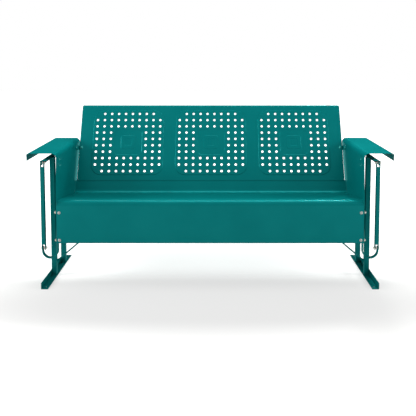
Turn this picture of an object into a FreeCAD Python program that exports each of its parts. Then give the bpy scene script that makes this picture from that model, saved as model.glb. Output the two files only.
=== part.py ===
import FreeCAD, Part
import Sketcher
import math
import os
import re

Vector = FreeCAD.Vector
Rotation = FreeCAD.Rotation
doc = FreeCAD.newDocument("PorchGlider")

# Driving sizes in millimetres and degrees
# Distances to the back are measured from the front posts' front face
sizes = {
    # Seat shell: the space between the arms and its heights above the floor
    "sideInnerHalf": 794,
    "sideBottom": 208,
    "sideFrontMargin": 21,
    "sideRearMargin": 29,
    "sideCorner": 14,
    "sheetGauge": 2,
    # Frame that stands still
    "postSideGap": 30,
    "postWidth": 27,
    "postWall": 2,
    "postCorner": 3,
    "postSpacing": 204,
    "footFrontReach": 197,
    "footRearReach": 95,
    "footOutstand": 3,
    "footWidth": 35,
    "footHeight": 32,
    "footGauge": 3,
    "footHoleRadius": 4.5,
    "footHoleInset": 30,
    "railDrop": 33.5,
    "railHeight": 26,
    "railWidth": 30.5,
    "railGauge": 3,
    "railEndReach": 22,
    "tieRodRadius": 4,
    "tieRodDrop": 403.5,
    "tieRodEyeHeight": 62,
    "tieRodAngle": 40.5,
    "tieRodBend": 30,
    "tieRodStart": 1,
    "tieEyeRadius": 11,
    "tieEyeGauge": 5,
    # Four hanging links and their pivots
    "pivotPostGap": 15,
    "pivotFrontReach": 83,
    "pivotRearReach": 83,
    "pivotDrop": 15.5,
    "linkLength": 450,
    "linkWidth": 20,
    "linkDepth": 22,
    "linkGauge": 2,
    "linkWebInset": 24,
    "pivotBoltRadius": 4,
    "pivotClearance": 0.1,
    "spacerRadius": 8,
    "spacerClearance": 0.2,
    # Curved hangers under the seat
    "hangerWidth": 24,
    "hangerGauge": 5,
    "hangerBendDrop": 11.5,
    "hangerBoltRise": 12,
    "hangerBoltDrop": 64,
    "hangerRearBoltDrop": 25,
    # Arms, bent from the same sheets as the side panels
    "armWidth": 161,
    "armTop": 677,
    "armLip": 44,
    "armFrontMargin": 2,
    "armRearOverhang": 141,
    "armInnerBend": 26,
    "armOuterBend": 14,
    "armFrontCorner": 22,
    "armRearCorner": 10,
    "kneeMargin": 35,
    # Seat pan with its front apron and rear upstand
    "panClearance": 0.3,
    "panFrontTop": 431,
    "panRearDrop": 59,
    "panRoll": 28,
    "panRearBend": 35,
    "panHem": 20,
    "panHemBend": 5,
    "panEarLength": 60,
    "panEarMargin": 14,
    "panEarCorner": 8,
    "upstandOverlap": 25,
    "upstandGap": 2,
    # Perforated back, its hole pitches as shares of its half width and its height
    "backTilt": 25.1,
    "seamSetback": 7,
    "seamRise": 70.7,
    "backSideGap": 7,
    "backHeight": 473,
    "backFlange": 20,
    "backTopRoll": 11,
    "backReturn": 14,
    "backReturnBend": 5,
    "backHem": 20,
    "backCorner": 9,
    "holeRadius": 7.5,
    "pitchShare": 0.05362,
    "rowShare": 0.08393,
    "firstRowShare": 0.118,
    "groupShare": 0.632,
    "embossHeight": 2,
    "embossMargin": 23,
    "embossCorner": 60,
    "embossWall": 2.5,
    # Brackets and fasteners
    "angleLeg": 28,
    "angleGauge": 3,
    "angleRise": 6,
    "angleDrop": 35,
    "bracketAlong": 201,
    "bracketWidth": 26,
    "bracketLeg": 24,
    "bracketBoltReach": 58.7,
    "bracketBoltStep": 16.7,
    "bracketBoltInset": 13,
    "bracketCorner": 11.7,
    "boltRadius": 4,
    "boltHoleRadius": 4.3,
    "boltHeadRadius": 8,
    "boltHeadHeight": 4,
    "boltHeadCrown": 4.8,
    "nutHeight": 6.5,
    "nutRadius": 7.5,
    "apronBoltInset": 13,
    "apronBoltRise": 16.6,
    "apronBoltDrop": 61.5,
}

# Places that follow from the driving sizes
derived = {
    "sideOuter": "sideInnerHalf + sheetGauge",
    "postInnerHalf": "sideOuter + postSideGap",
    "postOuter": "postInnerHalf + postWidth",
    "footOuter": "postOuter + footOutstand",
    "footInner": "footOuter - footWidth",
    "footLength": "footFrontReach + postSpacing + postWidth + footRearReach",
    "pivotSide": "postOuter + pivotPostGap",
    "pivotFront": "-pivotFrontReach",
    "pivotRear": "postSpacing + postWidth + pivotRearReach",
    "railTop": "armTop - railDrop",
    "railOuter": "pivotSide + railGauge / 2",
    "pivotTop": "railTop - pivotDrop",
    "pivotLow": "pivotTop - linkLength",
    "hangerOuter": "pivotSide + hangerGauge / 2",
    "hangerBoltLow": "sideBottom + hangerBoltRise",
    "hangerBoltHigh": "panFrontTop - hangerBoltDrop",
    "panRearTop": "panFrontTop - panRearDrop",
    "hangerRearBoltHigh": "panRearTop - hangerRearBoltDrop",
    "sideFront": "pivotFront - sideFrontMargin",
    "sideRear": "pivotRear + sideRearMargin",
    "armOuterHalf": "sideInnerHalf + armWidth",
    "armFront": "pivotFront - armFrontMargin",
    "armRear": "sideRear + armRearOverhang",
    "panHalf": "sideInnerHalf - panClearance",
    "seamPlace": "sideRear + seamSetback",
    "seamHeight": "panRearTop + seamRise",
    "backHalf": "sideInnerHalf - backSideGap",
    "holePitch": "backHalf * pitchShare",
    "groupSpacing": "backHalf * groupShare",
    "holeRowPitch": "backHeight * rowShare",
    "holeFirstRow": "backHeight * firstRowShare",
    "tieRodHeight": "railTop - tieRodDrop",
    "angleBottom": "sideBottom + angleRise",
    "angleTop": "panFrontTop - angleDrop",
    "apronBoltSide": "sideInnerHalf - apronBoltInset",
    "apronBoltLow": "sideBottom + apronBoltRise",
    "apronBoltHigh": "panFrontTop - apronBoltDrop",
    "bracketBoltSide": "backHalf - bracketBoltInset",
    "bracketBoltAlong": "bracketAlong - bracketBoltStep",
}
sheet = doc.addObject("Spreadsheet::Sheet", "Sizes")
for row, (alias, value) in enumerate(sizes.items(), start=1):
    sheet.set(f"A{row}", alias)
    sheet.set(f"B{row}", str(value))
    sheet.setAlias(f"B{row}", alias)
doc.recompute()

# Flats of the small round parts and holes, and chords of the bends, which keep the solids light
backHoleSides = 6
boltSides = 8
nutSides = 6
spacerSides = 6
eyeSides = 12
bendChords = 4
edgeChords = 2
# Each group on the back is a square of holes without its four corners and its middle
groupHoles = 10
groupReach = (groupHoles - 1) / 2
groupMiddle = range(3, 7)


def writtenOut(expression):
    # Derived names give way to their formulas until only the driving sizes are left
    while True:
        longer = re.sub(r"[A-Za-z]+", lambda word: f"({derived[word.group()]})"
                        if word.group() in derived else word.group(), expression)
        if longer == expression:
            return expression
        expression = longer


def size(expression):
    return float(sheet.evalExpression(writtenOut(expression)))


def sized(expression):
    # The same formula as the other objects of the document write it
    return re.sub(r"[A-Za-z]+", lambda word: "Sizes." + word.group(), writtenOut(expression))


tiltSine = math.sin(math.radians(size("backTilt")))
tiltCosine = math.cos(math.radians(size("backTilt")))


# Outlines made of straight runs and arcs
def cornerArc(before, vertex, after, radius):
    # Start, middle and end of the arc that rounds one corner
    back = (before - vertex).normalize()
    ahead = (after - vertex).normalize()
    half = back.getAngle(ahead) / 2
    reach = radius / math.tan(half)
    inward = (back + ahead).normalize()
    centre = vertex + inward * (radius / math.sin(half))
    return [vertex + back * reach, centre - inward * radius, vertex + ahead * reach]


def roundedRuns(points, radii, closed):
    # Straight runs between the points, with an arc at each corner that has a radius
    count = len(points)
    bends = []
    for index, radius in enumerate(radii):
        isEnd = not closed and index in (0, count - 1)
        if radius > 0 and not isEnd:
            bends.append(cornerArc(points[index - 1], points[index], points[(index + 1) % count], radius))
        else:
            bends.append([points[index]])
    runs = []
    for index, bend in enumerate(bends):
        if len(bend) == 3:
            runs.append(bend)
        following = bends[(index + 1) % count]
        if (closed or index < count - 1) and bend[-1].distanceToPoint(following[0]) > 1e-6:
            runs.append([bend[-1], following[0]])
    return runs


def turnOf(before, vertex, after):
    # Positive for a turn to the left
    first = vertex - before
    second = after - vertex
    return first.x * second.y - first.y * second.x


def sheetOutline(points, radii, gauge, side):
    # Closed section of a bent sheet: side 1 puts the metal right of the path, -1 left of it
    normals = []
    for start, end in zip(points, points[1:]):
        along = (end - start).normalize()
        normals.append(Vector(along.y, -along.x, 0) * side)
    offset = [points[0] + normals[0] * gauge]
    otherRadii = [0]
    for index in range(1, len(points) - 1):
        first, second = normals[index - 1], normals[index]
        offset.append(points[index] + (first + second) * (gauge / (1 + first.dot(second))))
        turn = turnOf(points[index - 1], points[index], points[index + 1]) * side
        otherRadii.append(radii[index] - gauge if turn < 0 else radii[index] + gauge)
    offset.append(points[-1] + normals[-1] * gauge)
    otherRadii.append(0)
    nearFace = roundedRuns(points, radii, False)
    farFace = [run[::-1] for run in roundedRuns(offset, otherRadii, False)[::-1]]
    return nearFace + [[points[-1], offset[-1]]] + farFace + [[offset[0], points[0]]]


def flatPoints(*pairs):
    return [Vector(across, up, 0) for across, up in pairs]


def chorded(runs, steps):
    # Each arc given way to a few equal straight chords
    result = []
    for run in runs:
        if len(run) == 2:
            result.append(run)
            continue
        arc = Part.Arc(*run)
        span = (arc.LastParameter - arc.FirstParameter) / steps
        places = [arc.value(arc.FirstParameter + span * step) for step in range(steps + 1)]
        if places[0].distanceToPoint(run[0]) > 1e-6:
            places.reverse()
        result += [[start, end] for start, end in zip(places, places[1:])]
    return result


def straightRuns(points):
    return roundedRuns(points, [0] * len(points), True)


def boxRuns(left, right, bottom, top, radius=0):
    corners = flatPoints((left, bottom), (right, bottom), (right, top), (left, top))
    return roundedRuns(corners, [radius] * 4, True)


def mirrored(points, side):
    return [Vector(point.x * side, point.y, 0) for point in points]


# Bodies, sketches and features
def newBody(label):
    body = doc.addObject("PartDesign::Body", "Body_" + label)
    body.Label = label
    return body


def newSketch(body, name, role, offset="0"):
    plane = next(item for item in body.Origin.OriginFeatures if item.Role == role)
    sketch = body.newObject("Sketcher::SketchObject", body.Label + "_" + name)
    sketch.AttachmentSupport = [(plane, "")]
    sketch.MapMode = "FlatFace"
    sketch.setExpression("AttachmentOffset.Base.z", sized(offset))
    return sketch


def draw(sketch, runs):
    # Each run is a straight line of two points or an arc of three
    curves = [Part.LineSegment(*run) if len(run) == 2 else Part.Arc(*run) for run in runs]
    sketch.addGeometry(curves, False)


def drawCircle(sketch, across, up, radius):
    # A circle whose centre and radius follow the sheet
    centre = Vector(size(across), size(up), 0)
    index = sketch.addGeometry(Part.Circle(centre, Vector(0, 0, 1), size(radius)), False)
    for kind, value, formula in (("DistanceX", centre.x, across), ("DistanceY", centre.y, up)):
        number = sketch.addConstraint(Sketcher.Constraint(kind, -1, 1, index, 3, value))
        sketch.setExpression(f"Constraints[{number}]", sized(formula))
    number = sketch.addConstraint(Sketcher.Constraint("Radius", index, size(radius)))
    sketch.setExpression(f"Constraints[{number}]", sized(radius))


def pad(body, sketch, length, backwards=False):
    feature = body.newObject("PartDesign::Pad", sketch.Name + "_pad")
    feature.Profile = sketch
    feature.Reversed = backwards
    feature.setExpression("Length", sized(length))
    doc.recompute()
    return feature


def pocket(body, sketch, length=None, backwards=False):
    # Without a length the cut goes right through on both sides of the sketch
    before = body.Shape.Volume
    feature = body.newObject("PartDesign::Pocket", sketch.Name + "_cut")
    feature.Profile = sketch
    feature.Reversed = backwards
    if length is None:
        feature.Type = "ThroughAll"
        feature.SideType = "Symmetric"
    else:
        feature.setExpression("Length", sized(length))
    doc.recompute()
    if body.Shape.Volume > before - 1:
        raise RuntimeError(sketch.Name + " cuts nothing")
    return feature


def ringPoints(centre, radius, sides, outside=True):
    # Corners of a regular ring: its flats lie at the radius, or its corners where outside is False
    reach = radius / math.cos(math.pi / sides) if outside else radius
    turns = [math.pi * (2 * step + 1) / sides for step in range(sides)]
    return [centre + Vector(math.cos(turn), math.sin(turn), 0) * reach for turn in turns]


def drawRing(sketch, across, up, radius, sides=boltSides):
    centre = Vector(size(across), size(up), 0)
    draw(sketch, straightRuns(ringPoints(centre, size(radius), sides)))


def boltHolesAlongX(body, name, places):
    # Bolt holes through everything that lies along X at each place
    sketch = newSketch(body, name, "YZ_Plane")
    for across, up in places:
        drawRing(sketch, across, up, "boltHoleRadius")
    return pocket(body, sketch)


def pivotHolesAlongX(body, name, places):
    sketch = newSketch(body, name, "YZ_Plane")
    for across, up in places:
        drawRing(sketch, across, up, "pivotBoltRadius + pivotClearance")
    return pocket(body, sketch)


# Hanger bolts: place along the side, height and what lies inside the side panel there
hangerBoltPlaces = [
    ("pivotFront", "hangerBoltLow", "angleGauge"),
    ("pivotFront", "hangerBoltHigh", "angleGauge"),
    ("pivotRear", "hangerBoltLow", "0"),
    ("pivotRear", "hangerRearBoltHigh", "(sheetGauge + panClearance)"),
]


# Stationary frame
def makeFoot(label, side):
    # Angle section lying on the floor, its upright flange outside the posts
    body = newBody(label)
    outer, inner = size("footOuter"), size("footInner")
    height, gauge = size("footHeight"), size("footGauge")
    corners = flatPoints((inner, 0), (outer, 0), (outer, height), (outer - gauge, height),
                         (outer - gauge, gauge), (inner, gauge))
    section = newSketch(body, "section", "XZ_Plane", "-(footLength - footFrontReach)")
    draw(section, straightRuns(mirrored(corners, side)))
    pad(body, section, "footLength")
    holes = newSketch(body, "floorHoles", "XY_Plane", "footHeight")
    for place in ("footHoleInset - footFrontReach", "footLength - footFrontReach - footHoleInset"):
        drawCircle(holes, f"{side} * (footInner + footOuter - footGauge) / 2", place, "footHoleRadius")
    pocket(body, holes)
    return body


def makePost(label, side, frontFace, hasTieHole):
    # Square tube with rounded corners, welded between foot and rail
    body = newBody(label)
    inner, width, wall = size("postInnerHalf"), size("postWidth"), size("postWall")
    front, corner = size(frontFace), size("postCorner")
    edges = sorted((side * inner, side * (inner + width)))
    section = newSketch(body, "section", "XY_Plane", "footGauge")
    draw(section, chorded(boxRuns(edges[0], edges[1], front, front + width, corner), edgeChords))
    draw(section, boxRuns(edges[0] + wall, edges[1] - wall, front + wall, front + width - wall))
    pad(body, section, "railTop - railGauge - footGauge")
    if hasTieHole:
        hole = newSketch(body, "tieHole", "XZ_Plane", "-(postWidth / 2)")
        drawRing(hole, f"{side} * (postInnerHalf + postWidth / 2)", "tieRodEyeHeight", "boltHoleRadius")
        pocket(body, hole, "postWidth")
    return body


def makeRail(label, side):
    # Angle section on top of the posts, its upright flange outside, with both upper pivots
    body = newBody(label)
    outer, top = size("railOuter"), size("railTop")
    inner = outer - size("railWidth")
    gauge, bottom = size("railGauge"), top - size("railHeight")
    corners = flatPoints((inner, top), (outer, top), (outer, bottom), (outer - gauge, bottom),
                         (outer - gauge, top - gauge), (inner, top - gauge))
    section = newSketch(body, "section", "XZ_Plane", "-(pivotRear + railEndReach)")
    draw(section, straightRuns(mirrored(corners, side)))
    pad(body, section, "pivotRear - pivotFront + 2 * railEndReach")
    pivotHolesAlongX(body, "pivotHoles", [("pivotFront", "pivotTop"), ("pivotRear", "pivotTop")])
    return body


def makeTieRod(label):
    # One round rod, bent up under the seat, with a flattened eye behind each front post
    feature = doc.addObject("Part::Feature", "Rod_" + label)
    feature.Label = label
    radius, bend = size("tieRodRadius"), size("tieRodBend")
    eyeSide = size("postInnerHalf + postWidth / 2")
    eyeHeight, top = size("tieRodEyeHeight"), size("tieRodHeight")
    slope = math.tan(math.radians(size("tieRodAngle")))
    kneeSide = eyeSide - (top - eyeHeight) / slope
    plane = size("postWidth + tieEyeGauge / 2 + tieRodRadius / 2")
    # The round rod starts just beyond the bolt head on the eye
    start = size("boltHeadRadius + tieRodStart")
    endSide = eyeSide - start * math.cos(math.radians(size("tieRodAngle")))
    endHeight = eyeHeight + start * math.sin(math.radians(size("tieRodAngle")))
    knees = flatPoints((-endSide, endHeight), (-kneeSide, top), (kneeSide, top), (endSide, endHeight))
    edges = []
    for run in chorded(roundedRuns(knees, [0, bend, bend, 0], False), bendChords):
        edges.append(Part.LineSegment(*[Vector(point.x, plane, point.y) for point in run]).toShape())
    path = Part.Wire(edges)
    heading = Vector(eyeSide - kneeSide, 0, top - eyeHeight)
    corners = ringPoints(Vector(), radius, boltSides)
    ring = Part.makePolygon(corners + corners[:1])
    ring.Placement = FreeCAD.Placement(Vector(-endSide, plane, endHeight), Rotation(Vector(0, 0, 1), heading))
    shape = path.makePipeShell([ring], True, False, 1)
    back, gauge = size("postWidth"), size("tieEyeGauge")
    for side in (-1, 1):
        centre = Vector(side * eyeSide, back, eyeHeight)
        eye = prism(size("tieEyeRadius"), eyeSides, 0, gauge)
        eye.Placement = FreeCAD.Placement(centre, Rotation(Vector(0, 0, 1), Vector(0, 1, 0)))
        shape = shape.fuse(eye)
        corners = ringPoints(Vector(), size("boltHoleRadius"), boltSides)
        hole = Part.Face(Part.makePolygon(corners + corners[:1])).extrude(Vector(0, 0, gauge))
        hole.Placement = FreeCAD.Placement(centre, Rotation(Vector(0, 0, 1), Vector(0, 1, 0)))
        shape = shape.cut(hole)
    feature.Shape = shape.removeSplitter()
    return feature


# Swinging links
def makeLink(label, side, pivotPlace, facing):
    # Pressed channel, its web facing away from the posts, with two ears at each end
    body = newBody(label)
    centre, pivot = side * size("pivotSide"), size(pivotPlace)
    half, depth, gauge = size("linkWidth") / 2, size("linkDepth"), size("linkGauge")
    face = pivot + facing * depth / 2
    open_ = pivot - facing * depth / 2
    path = flatPoints((centre - half, open_), (centre - half, face), (centre + half, face), (centre + half, open_))
    section = newSketch(body, "section", "XY_Plane", "pivotLow - linkDepth / 2")
    draw(section, chorded(sheetOutline(path, [0, gauge, gauge, 0], gauge, facing), edgeChords))
    pad(body, section, "linkLength + linkDepth")
    low, high = size("pivotLow"), size("pivotTop")
    ears = newSketch(body, "ears", "YZ_Plane")
    draw(ears, boxRuns(pivot - depth, pivot + depth, low - depth, high + depth))
    draw(ears, chorded(slotRuns(pivot, low, high, depth / 2), bendChords))
    pocket(body, ears)
    notches = newSketch(body, "notches", "XZ_Plane")
    inset, inner = size("linkWebInset"), half - gauge
    draw(notches, boxRuns(centre - inner, centre + inner, low - depth, low + inset, 0))
    draw(notches, boxRuns(centre - inner, centre + inner, high - inset, high + depth, 0))
    pocket(body, notches)
    holes = newSketch(body, "pivotHoles", "YZ_Plane")
    for height in ("pivotLow", "pivotTop"):
        drawRing(holes, pivotPlace, height, "pivotBoltRadius + pivotClearance")
    pocket(body, holes)
    return body


def slotRuns(across, low, high, radius):
    # Two straight sides and two half rounds about the low and the high centre
    left, right = across - radius, across + radius
    return [
        flatPoints((left, high), (left, low)),
        flatPoints((left, low), (across, low - radius), (right, low)),
        flatPoints((right, low), (right, high)),
        flatPoints((right, high), (across, high + radius), (left, high)),
    ]


# Seat that swings
def makeHanger(label, side, pivotPlace, boltHigh):
    # Flat bar down the side panel, round under the bolt line and up to the lower pivot
    body = newBody(label)
    inner, outer = size("sideOuter"), size("hangerOuter")
    bend = (outer - inner) / 2
    bottom = size("pivotLow - hangerBendDrop") - bend
    path = flatPoints((inner, size(boltHigh)), (inner, bottom), (outer, bottom), (outer, size("pivotLow")))
    section = newSketch(body, "section", "XZ_Plane", f"-({pivotPlace} + hangerWidth / 2)")
    outline = sheetOutline(mirrored(path, side), [0, bend, bend, 0], size("hangerGauge"), -side)
    draw(section, chorded(outline, bendChords))
    pad(body, section, "hangerWidth")
    for name, face, height in (("topEnd", "sideOuter", boltHigh),
                               ("eyeEnd", "(hangerOuter - hangerGauge)", "pivotLow")):
        disc = newSketch(body, name, "YZ_Plane", f"{side} * {face}")
        drawRing(disc, pivotPlace, height, "hangerWidth / 2", eyeSides)
        pad(body, disc, "hangerGauge", side < 0)
    eye = newSketch(body, "eyeHole", "YZ_Plane", f"{side} * hangerOuter")
    drawRing(eye, pivotPlace, "pivotLow", "pivotBoltRadius + pivotClearance")
    pocket(body, eye, "hangerGauge", side < 0)
    boltHolesAlongX(body, "boltHoles", [(pivotPlace, "hangerBoltLow"), (pivotPlace, boltHigh)])
    return body


def panSlope():
    # Drop angle of the pan's flat and the place where it meets the rear upstand
    roll = size("panRoll")
    centre = Vector(size("sideFront") + roll, size("panFrontTop") - roll, 0)
    seam = Vector(size("seamPlace"), size("seamHeight"), 0)
    behind = Vector(tiltCosine, -tiltSine, 0) * size("sheetGauge")
    rear = seam + behind
    rear = rear - Vector(tiltSine, tiltCosine, 0) * ((rear.y - size("panRearTop")) / tiltCosine)
    reach = rear - centre
    slope = math.asin(roll / reach.Length) - math.atan2(reach.y, reach.x)
    return slope, rear


def makePan(label):
    # One bent sheet: hem, apron, front roll, pan, rear bend and upstand behind the back
    body = newBody(label)
    slope, rear = panSlope()
    front, bottom = size("sideFront"), size("sideBottom")
    gauge = size("sheetGauge")
    crest = rear.y + (rear.x - front) * math.tan(slope)
    along = size("upstandOverlap") + (size("seamHeight") - gauge * tiltSine - rear.y) / tiltCosine
    top = rear + Vector(tiltSine, tiltCosine, 0) * along
    path = flatPoints((front + size("panHem"), bottom), (front, bottom), (front, crest)) + [rear, top]
    radii = [0, size("panHemBend"), size("panRoll"), size("panRearBend"), 0]
    section = newSketch(body, "section", "YZ_Plane", "-panHalf")
    draw(section, chorded(sheetOutline(path, radii, gauge, 1), bendChords))
    pad(body, section, "2 * panHalf")
    notch = newSketch(body, "notches", "XZ_Plane")
    seam, above = size("seamHeight"), size("seamHeight + 2 * upstandOverlap")
    half, inner = size("panHalf"), size("backHalf - backHem - upstandGap")
    for side in (-1, 1):
        edges = sorted((side * inner, side * (half + gauge)))
        draw(notch, boxRuns(edges[0], edges[1], seam - gauge, above))
    pocket(body, notch)
    # Ears at the rear corners, which the upper rear hanger bolts hold to the side panels
    earRear = size("pivotRear + panEarMargin")
    earTop = size("pivotRear - panEarMargin")
    earFront = size("pivotRear - panEarLength")
    earBottom = size("hangerRearBoltHigh - panEarMargin")
    tops = [rear.y + (rear.x - place) * math.tan(slope) - gauge / 2 for place in (earFront, earTop)]
    ear = flatPoints((earFront, tops[0]), (earFront, earBottom), (earRear, earBottom),
                     (earRear, tops[1] - 2 * gauge), (earTop, tops[1]))
    corner = size("panEarCorner")
    for side, name in ((-1, "earLeft"), (1, "earRight")):
        sketch = newSketch(body, name, "YZ_Plane", f"{side} * panHalf")
        draw(sketch, roundedRuns(ear, [0, corner, corner, 0, 0], True))
        pad(body, sketch, "sheetGauge", side > 0)
    boltHolesAlongX(body, "earHoles", [("pivotRear", "hangerRearBoltHigh")])
    holes = newSketch(body, "apronHoles", "XZ_Plane", "-sideFront")
    for side in (-1, 1):
        for height in ("apronBoltLow", "apronBoltHigh"):
            drawRing(holes, f"{side} * apronBoltSide", height, "boltHoleRadius")
    pocket(body, holes, "sheetGauge")
    return body


def makeArm(label, side):
    # One bent sheet: side panel, inner bend, flat arm, outer bend and lip
    body = newBody(label)
    inner, outer = size("sideInnerHalf"), size("armOuterHalf")
    bottom, top, gauge = size("sideBottom"), size("armTop"), size("sheetGauge")
    path = flatPoints((inner, bottom), (inner, top), (outer, top), (outer, top - size("armLip")))
    section = newSketch(body, "section", "XZ_Plane", "-armRear")
    radii = [0, size("armInnerBend"), size("armOuterBend"), 0]
    draw(section, chorded(sheetOutline(mirrored(path, side), radii, gauge, side), bendChords))
    pad(body, section, "armRear - sideFront")
    margin = size("armInnerBend")
    armFront, sideFront = size("armFront"), size("sideFront")
    bendEnd = top - size("armInnerBend")
    corners = flatPoints(
        (armFront, top + margin), (armFront, bendEnd), (sideFront, size("panFrontTop")), (sideFront, bottom),
        (size("sideRear"), bottom), (size("sideRear"), size("panRearTop")),
        (size("seamPlace + kneeMargin"), size("seamHeight")), (size("armRear"), bendEnd),
        (size("armRear"), top + margin))
    corner = size("sideCorner")
    radii = [0, 0, 0, 0, corner, 2 * corner, 2 * corner, 0, 0]
    profile = newSketch(body, "sideOutline", "YZ_Plane")
    draw(profile, chorded(roundedRuns(corners, radii, True), bendChords))
    draw(profile, boxRuns(sideFront - margin, size("armRear") + margin, bottom - margin, top + 2 * margin))
    pocket(body, profile)
    plan = newSketch(body, "armCorners", "XY_Plane")
    for place, radius, ahead in ((armFront, size("armFrontCorner"), 1), (size("armRear"), size("armRearCorner"), -1)):
        draw(plan, chorded(cornerCut(side * outer, place, radius, side, ahead), bendChords))
    pocket(body, plan)
    upper = slopePoint(size("bracketBoltAlong"), -size("bracketBoltReach"))
    places = [(place, height) for place, height, packing in hangerBoltPlaces]
    boltHolesAlongX(body, "boltHoles", places + [(f"{upper.x:.4f}", f"{upper.y:.4f}")])
    return body


def cornerCut(across, along, radius, side, ahead):
    # The waste outside a rounded plan corner
    tangentSide = Vector(across - side * radius, along, 0)
    tangentEnd = Vector(across, along + ahead * radius, 0)
    centre = Vector(tangentSide.x, tangentEnd.y, 0)
    middle = centre + (Vector(across, along, 0) - centre).normalize() * radius
    margin = radius
    outside = Vector(across + side * margin, tangentEnd.y, 0)
    beyond = Vector(across + side * margin, along - ahead * margin, 0)
    before = Vector(tangentSide.x, along - ahead * margin, 0)
    return [[tangentSide, middle, tangentEnd], [tangentEnd, outside], [outside, beyond],
            [beyond, before], [before, tangentSide]]


def makeBack(label):
    # Pressed panel in its own frame: X across, Y up the slope, Z to the front
    body = newBody(label)
    half, height, flange = size("backHalf"), size("backHeight"), size("backFlange")
    gauge, corner = size("sheetGauge"), size("backCorner")
    path = flatPoints((0, 0), (height, 0), (height, -flange), (height - size("backReturn"), -flange))
    section = newSketch(body, "section", "YZ_Plane", "-backHalf")
    radii = [0, size("backTopRoll"), size("backReturnBend"), 0]
    draw(section, sheetOutline(path, radii, gauge, 1))
    pad(body, section, "2 * backHalf")
    hems = newSketch(body, "hems", "XY_Plane", "-sheetGauge")
    for side in (-1, 1):
        edges = sorted((side * half, side * (half - size("backHem"))))
        draw(hems, boxRuns(edges[0], edges[1], 0, height - size("backTopRoll"), 0))
    pad(body, hems, "sheetGauge", True)
    waste = newSketch(body, "cornerCuts", "XY_Plane", "sheetGauge")
    for side in (-1, 1):
        runs = chorded(cornerCut(height, side * half, corner, 1, -side), edgeChords)
        draw(waste, [[Vector(point.y, point.x, 0) for point in run] for run in runs])
    pocket(body, waste, "2 * backFlange")
    embossBack(body)
    pierceBack(body)
    return body


def embossBack(body):
    # A raised rounded square under each group of holes
    gauge, wall = size("sheetGauge"), size("embossWall")
    half = size(f"{groupReach} * holePitch + embossMargin")
    tall = size(f"{groupReach} * holeRowPitch + embossMargin")
    middle = size(f"holeFirstRow + {groupReach} * holeRowPitch")
    corner = size("embossCorner")
    steps = (
        ("raised", "0", half, tall, corner, "embossHeight", True),
        ("raisedBack", "-sheetGauge", half - wall, tall - wall, corner - wall, "embossHeight", False),
    )
    for name, plane, wide, high, radius, depth, adds in steps:
        sketch = newSketch(body, name, "XY_Plane", plane)
        for group in (-1, 0, 1):
            place = group * size("groupSpacing")
            edges = boxRuns(place - wide, place + wide, middle - high, middle + high, radius)
            draw(sketch, chorded(edges, bendChords))
        if adds:
            pad(body, sketch, depth)
        else:
            pocket(body, sketch, depth, True)


def pierceBack(body):
    # The two fixing holes, and one group of holes, six flats each, patterned three times across
    fixings = newSketch(body, "fixings", "XY_Plane", "sheetGauge")
    for side in (-1, 1):
        drawRing(fixings, f"{side} * bracketBoltSide", "bracketAlong", "boltHoleRadius")
    pocket(body, fixings, "backFlange")
    sketch = newSketch(body, "holes", "XY_Plane", "2 * embossHeight")
    runs = []
    for row in range(groupHoles):
        for column in range(groupHoles):
            isCorner = row in (0, groupHoles - 1) and column in (0, groupHoles - 1)
            isMiddle = row in groupMiddle and column in groupMiddle
            if isCorner or isMiddle:
                continue
            place = Vector(size(f"({column} - {groupReach}) * holePitch - groupSpacing"),
                           size(f"holeFirstRow + {row} * holeRowPitch"), 0)
            runs += straightRuns(ringPoints(place, size("holeRadius"), backHoleSides))
    draw(sketch, runs)
    cut = pocket(body, sketch, "backFlange")
    pattern = body.newObject("PartDesign::LinearPattern", "back_holeGroups")
    pattern.Originals = [cut]
    axis = next(item for item in body.Origin.OriginFeatures if item.Role == "X_Axis")
    pattern.Direction = (axis, [""])
    pattern.Occurrences = 3
    pattern.setExpression("Length", sized("2 * groupSpacing"))
    body.Tip = pattern
    doc.recompute()


def makeCornerAngle(label, side):
    # Upright angle in the front corner, behind the apron and inside the side panel
    body = newBody(label)
    outer = size("sideInnerHalf")
    front = size("sideFront + sheetGauge")
    leg, gauge = size("angleLeg"), size("angleGauge")
    corners = flatPoints((outer - leg, front), (outer, front), (outer, front + leg), (outer - gauge, front + leg),
                         (outer - gauge, front + gauge), (outer - leg, front + gauge))
    section = newSketch(body, "section", "XY_Plane", "angleBottom")
    draw(section, straightRuns(mirrored(corners, side)))
    pad(body, section, "angleTop - angleBottom")
    boltHolesAlongX(body, "sideHoles", [("pivotFront", "hangerBoltLow"), ("pivotFront", "hangerBoltHigh")])
    holes = newSketch(body, "apronHoles", "XZ_Plane")
    for height in ("apronBoltLow", "apronBoltHigh"):
        drawRing(holes, f"{side} * apronBoltSide", height, "boltHoleRadius")
    pocket(body, holes)
    return body


def slopePoint(along, behind):
    # A place in side view, measured up the back's slope and behind its front face
    return Vector(size("seamPlace") + along * tiltSine + behind * tiltCosine,
                  size("seamHeight") + along * tiltCosine - behind * tiltSine, 0)


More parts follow.
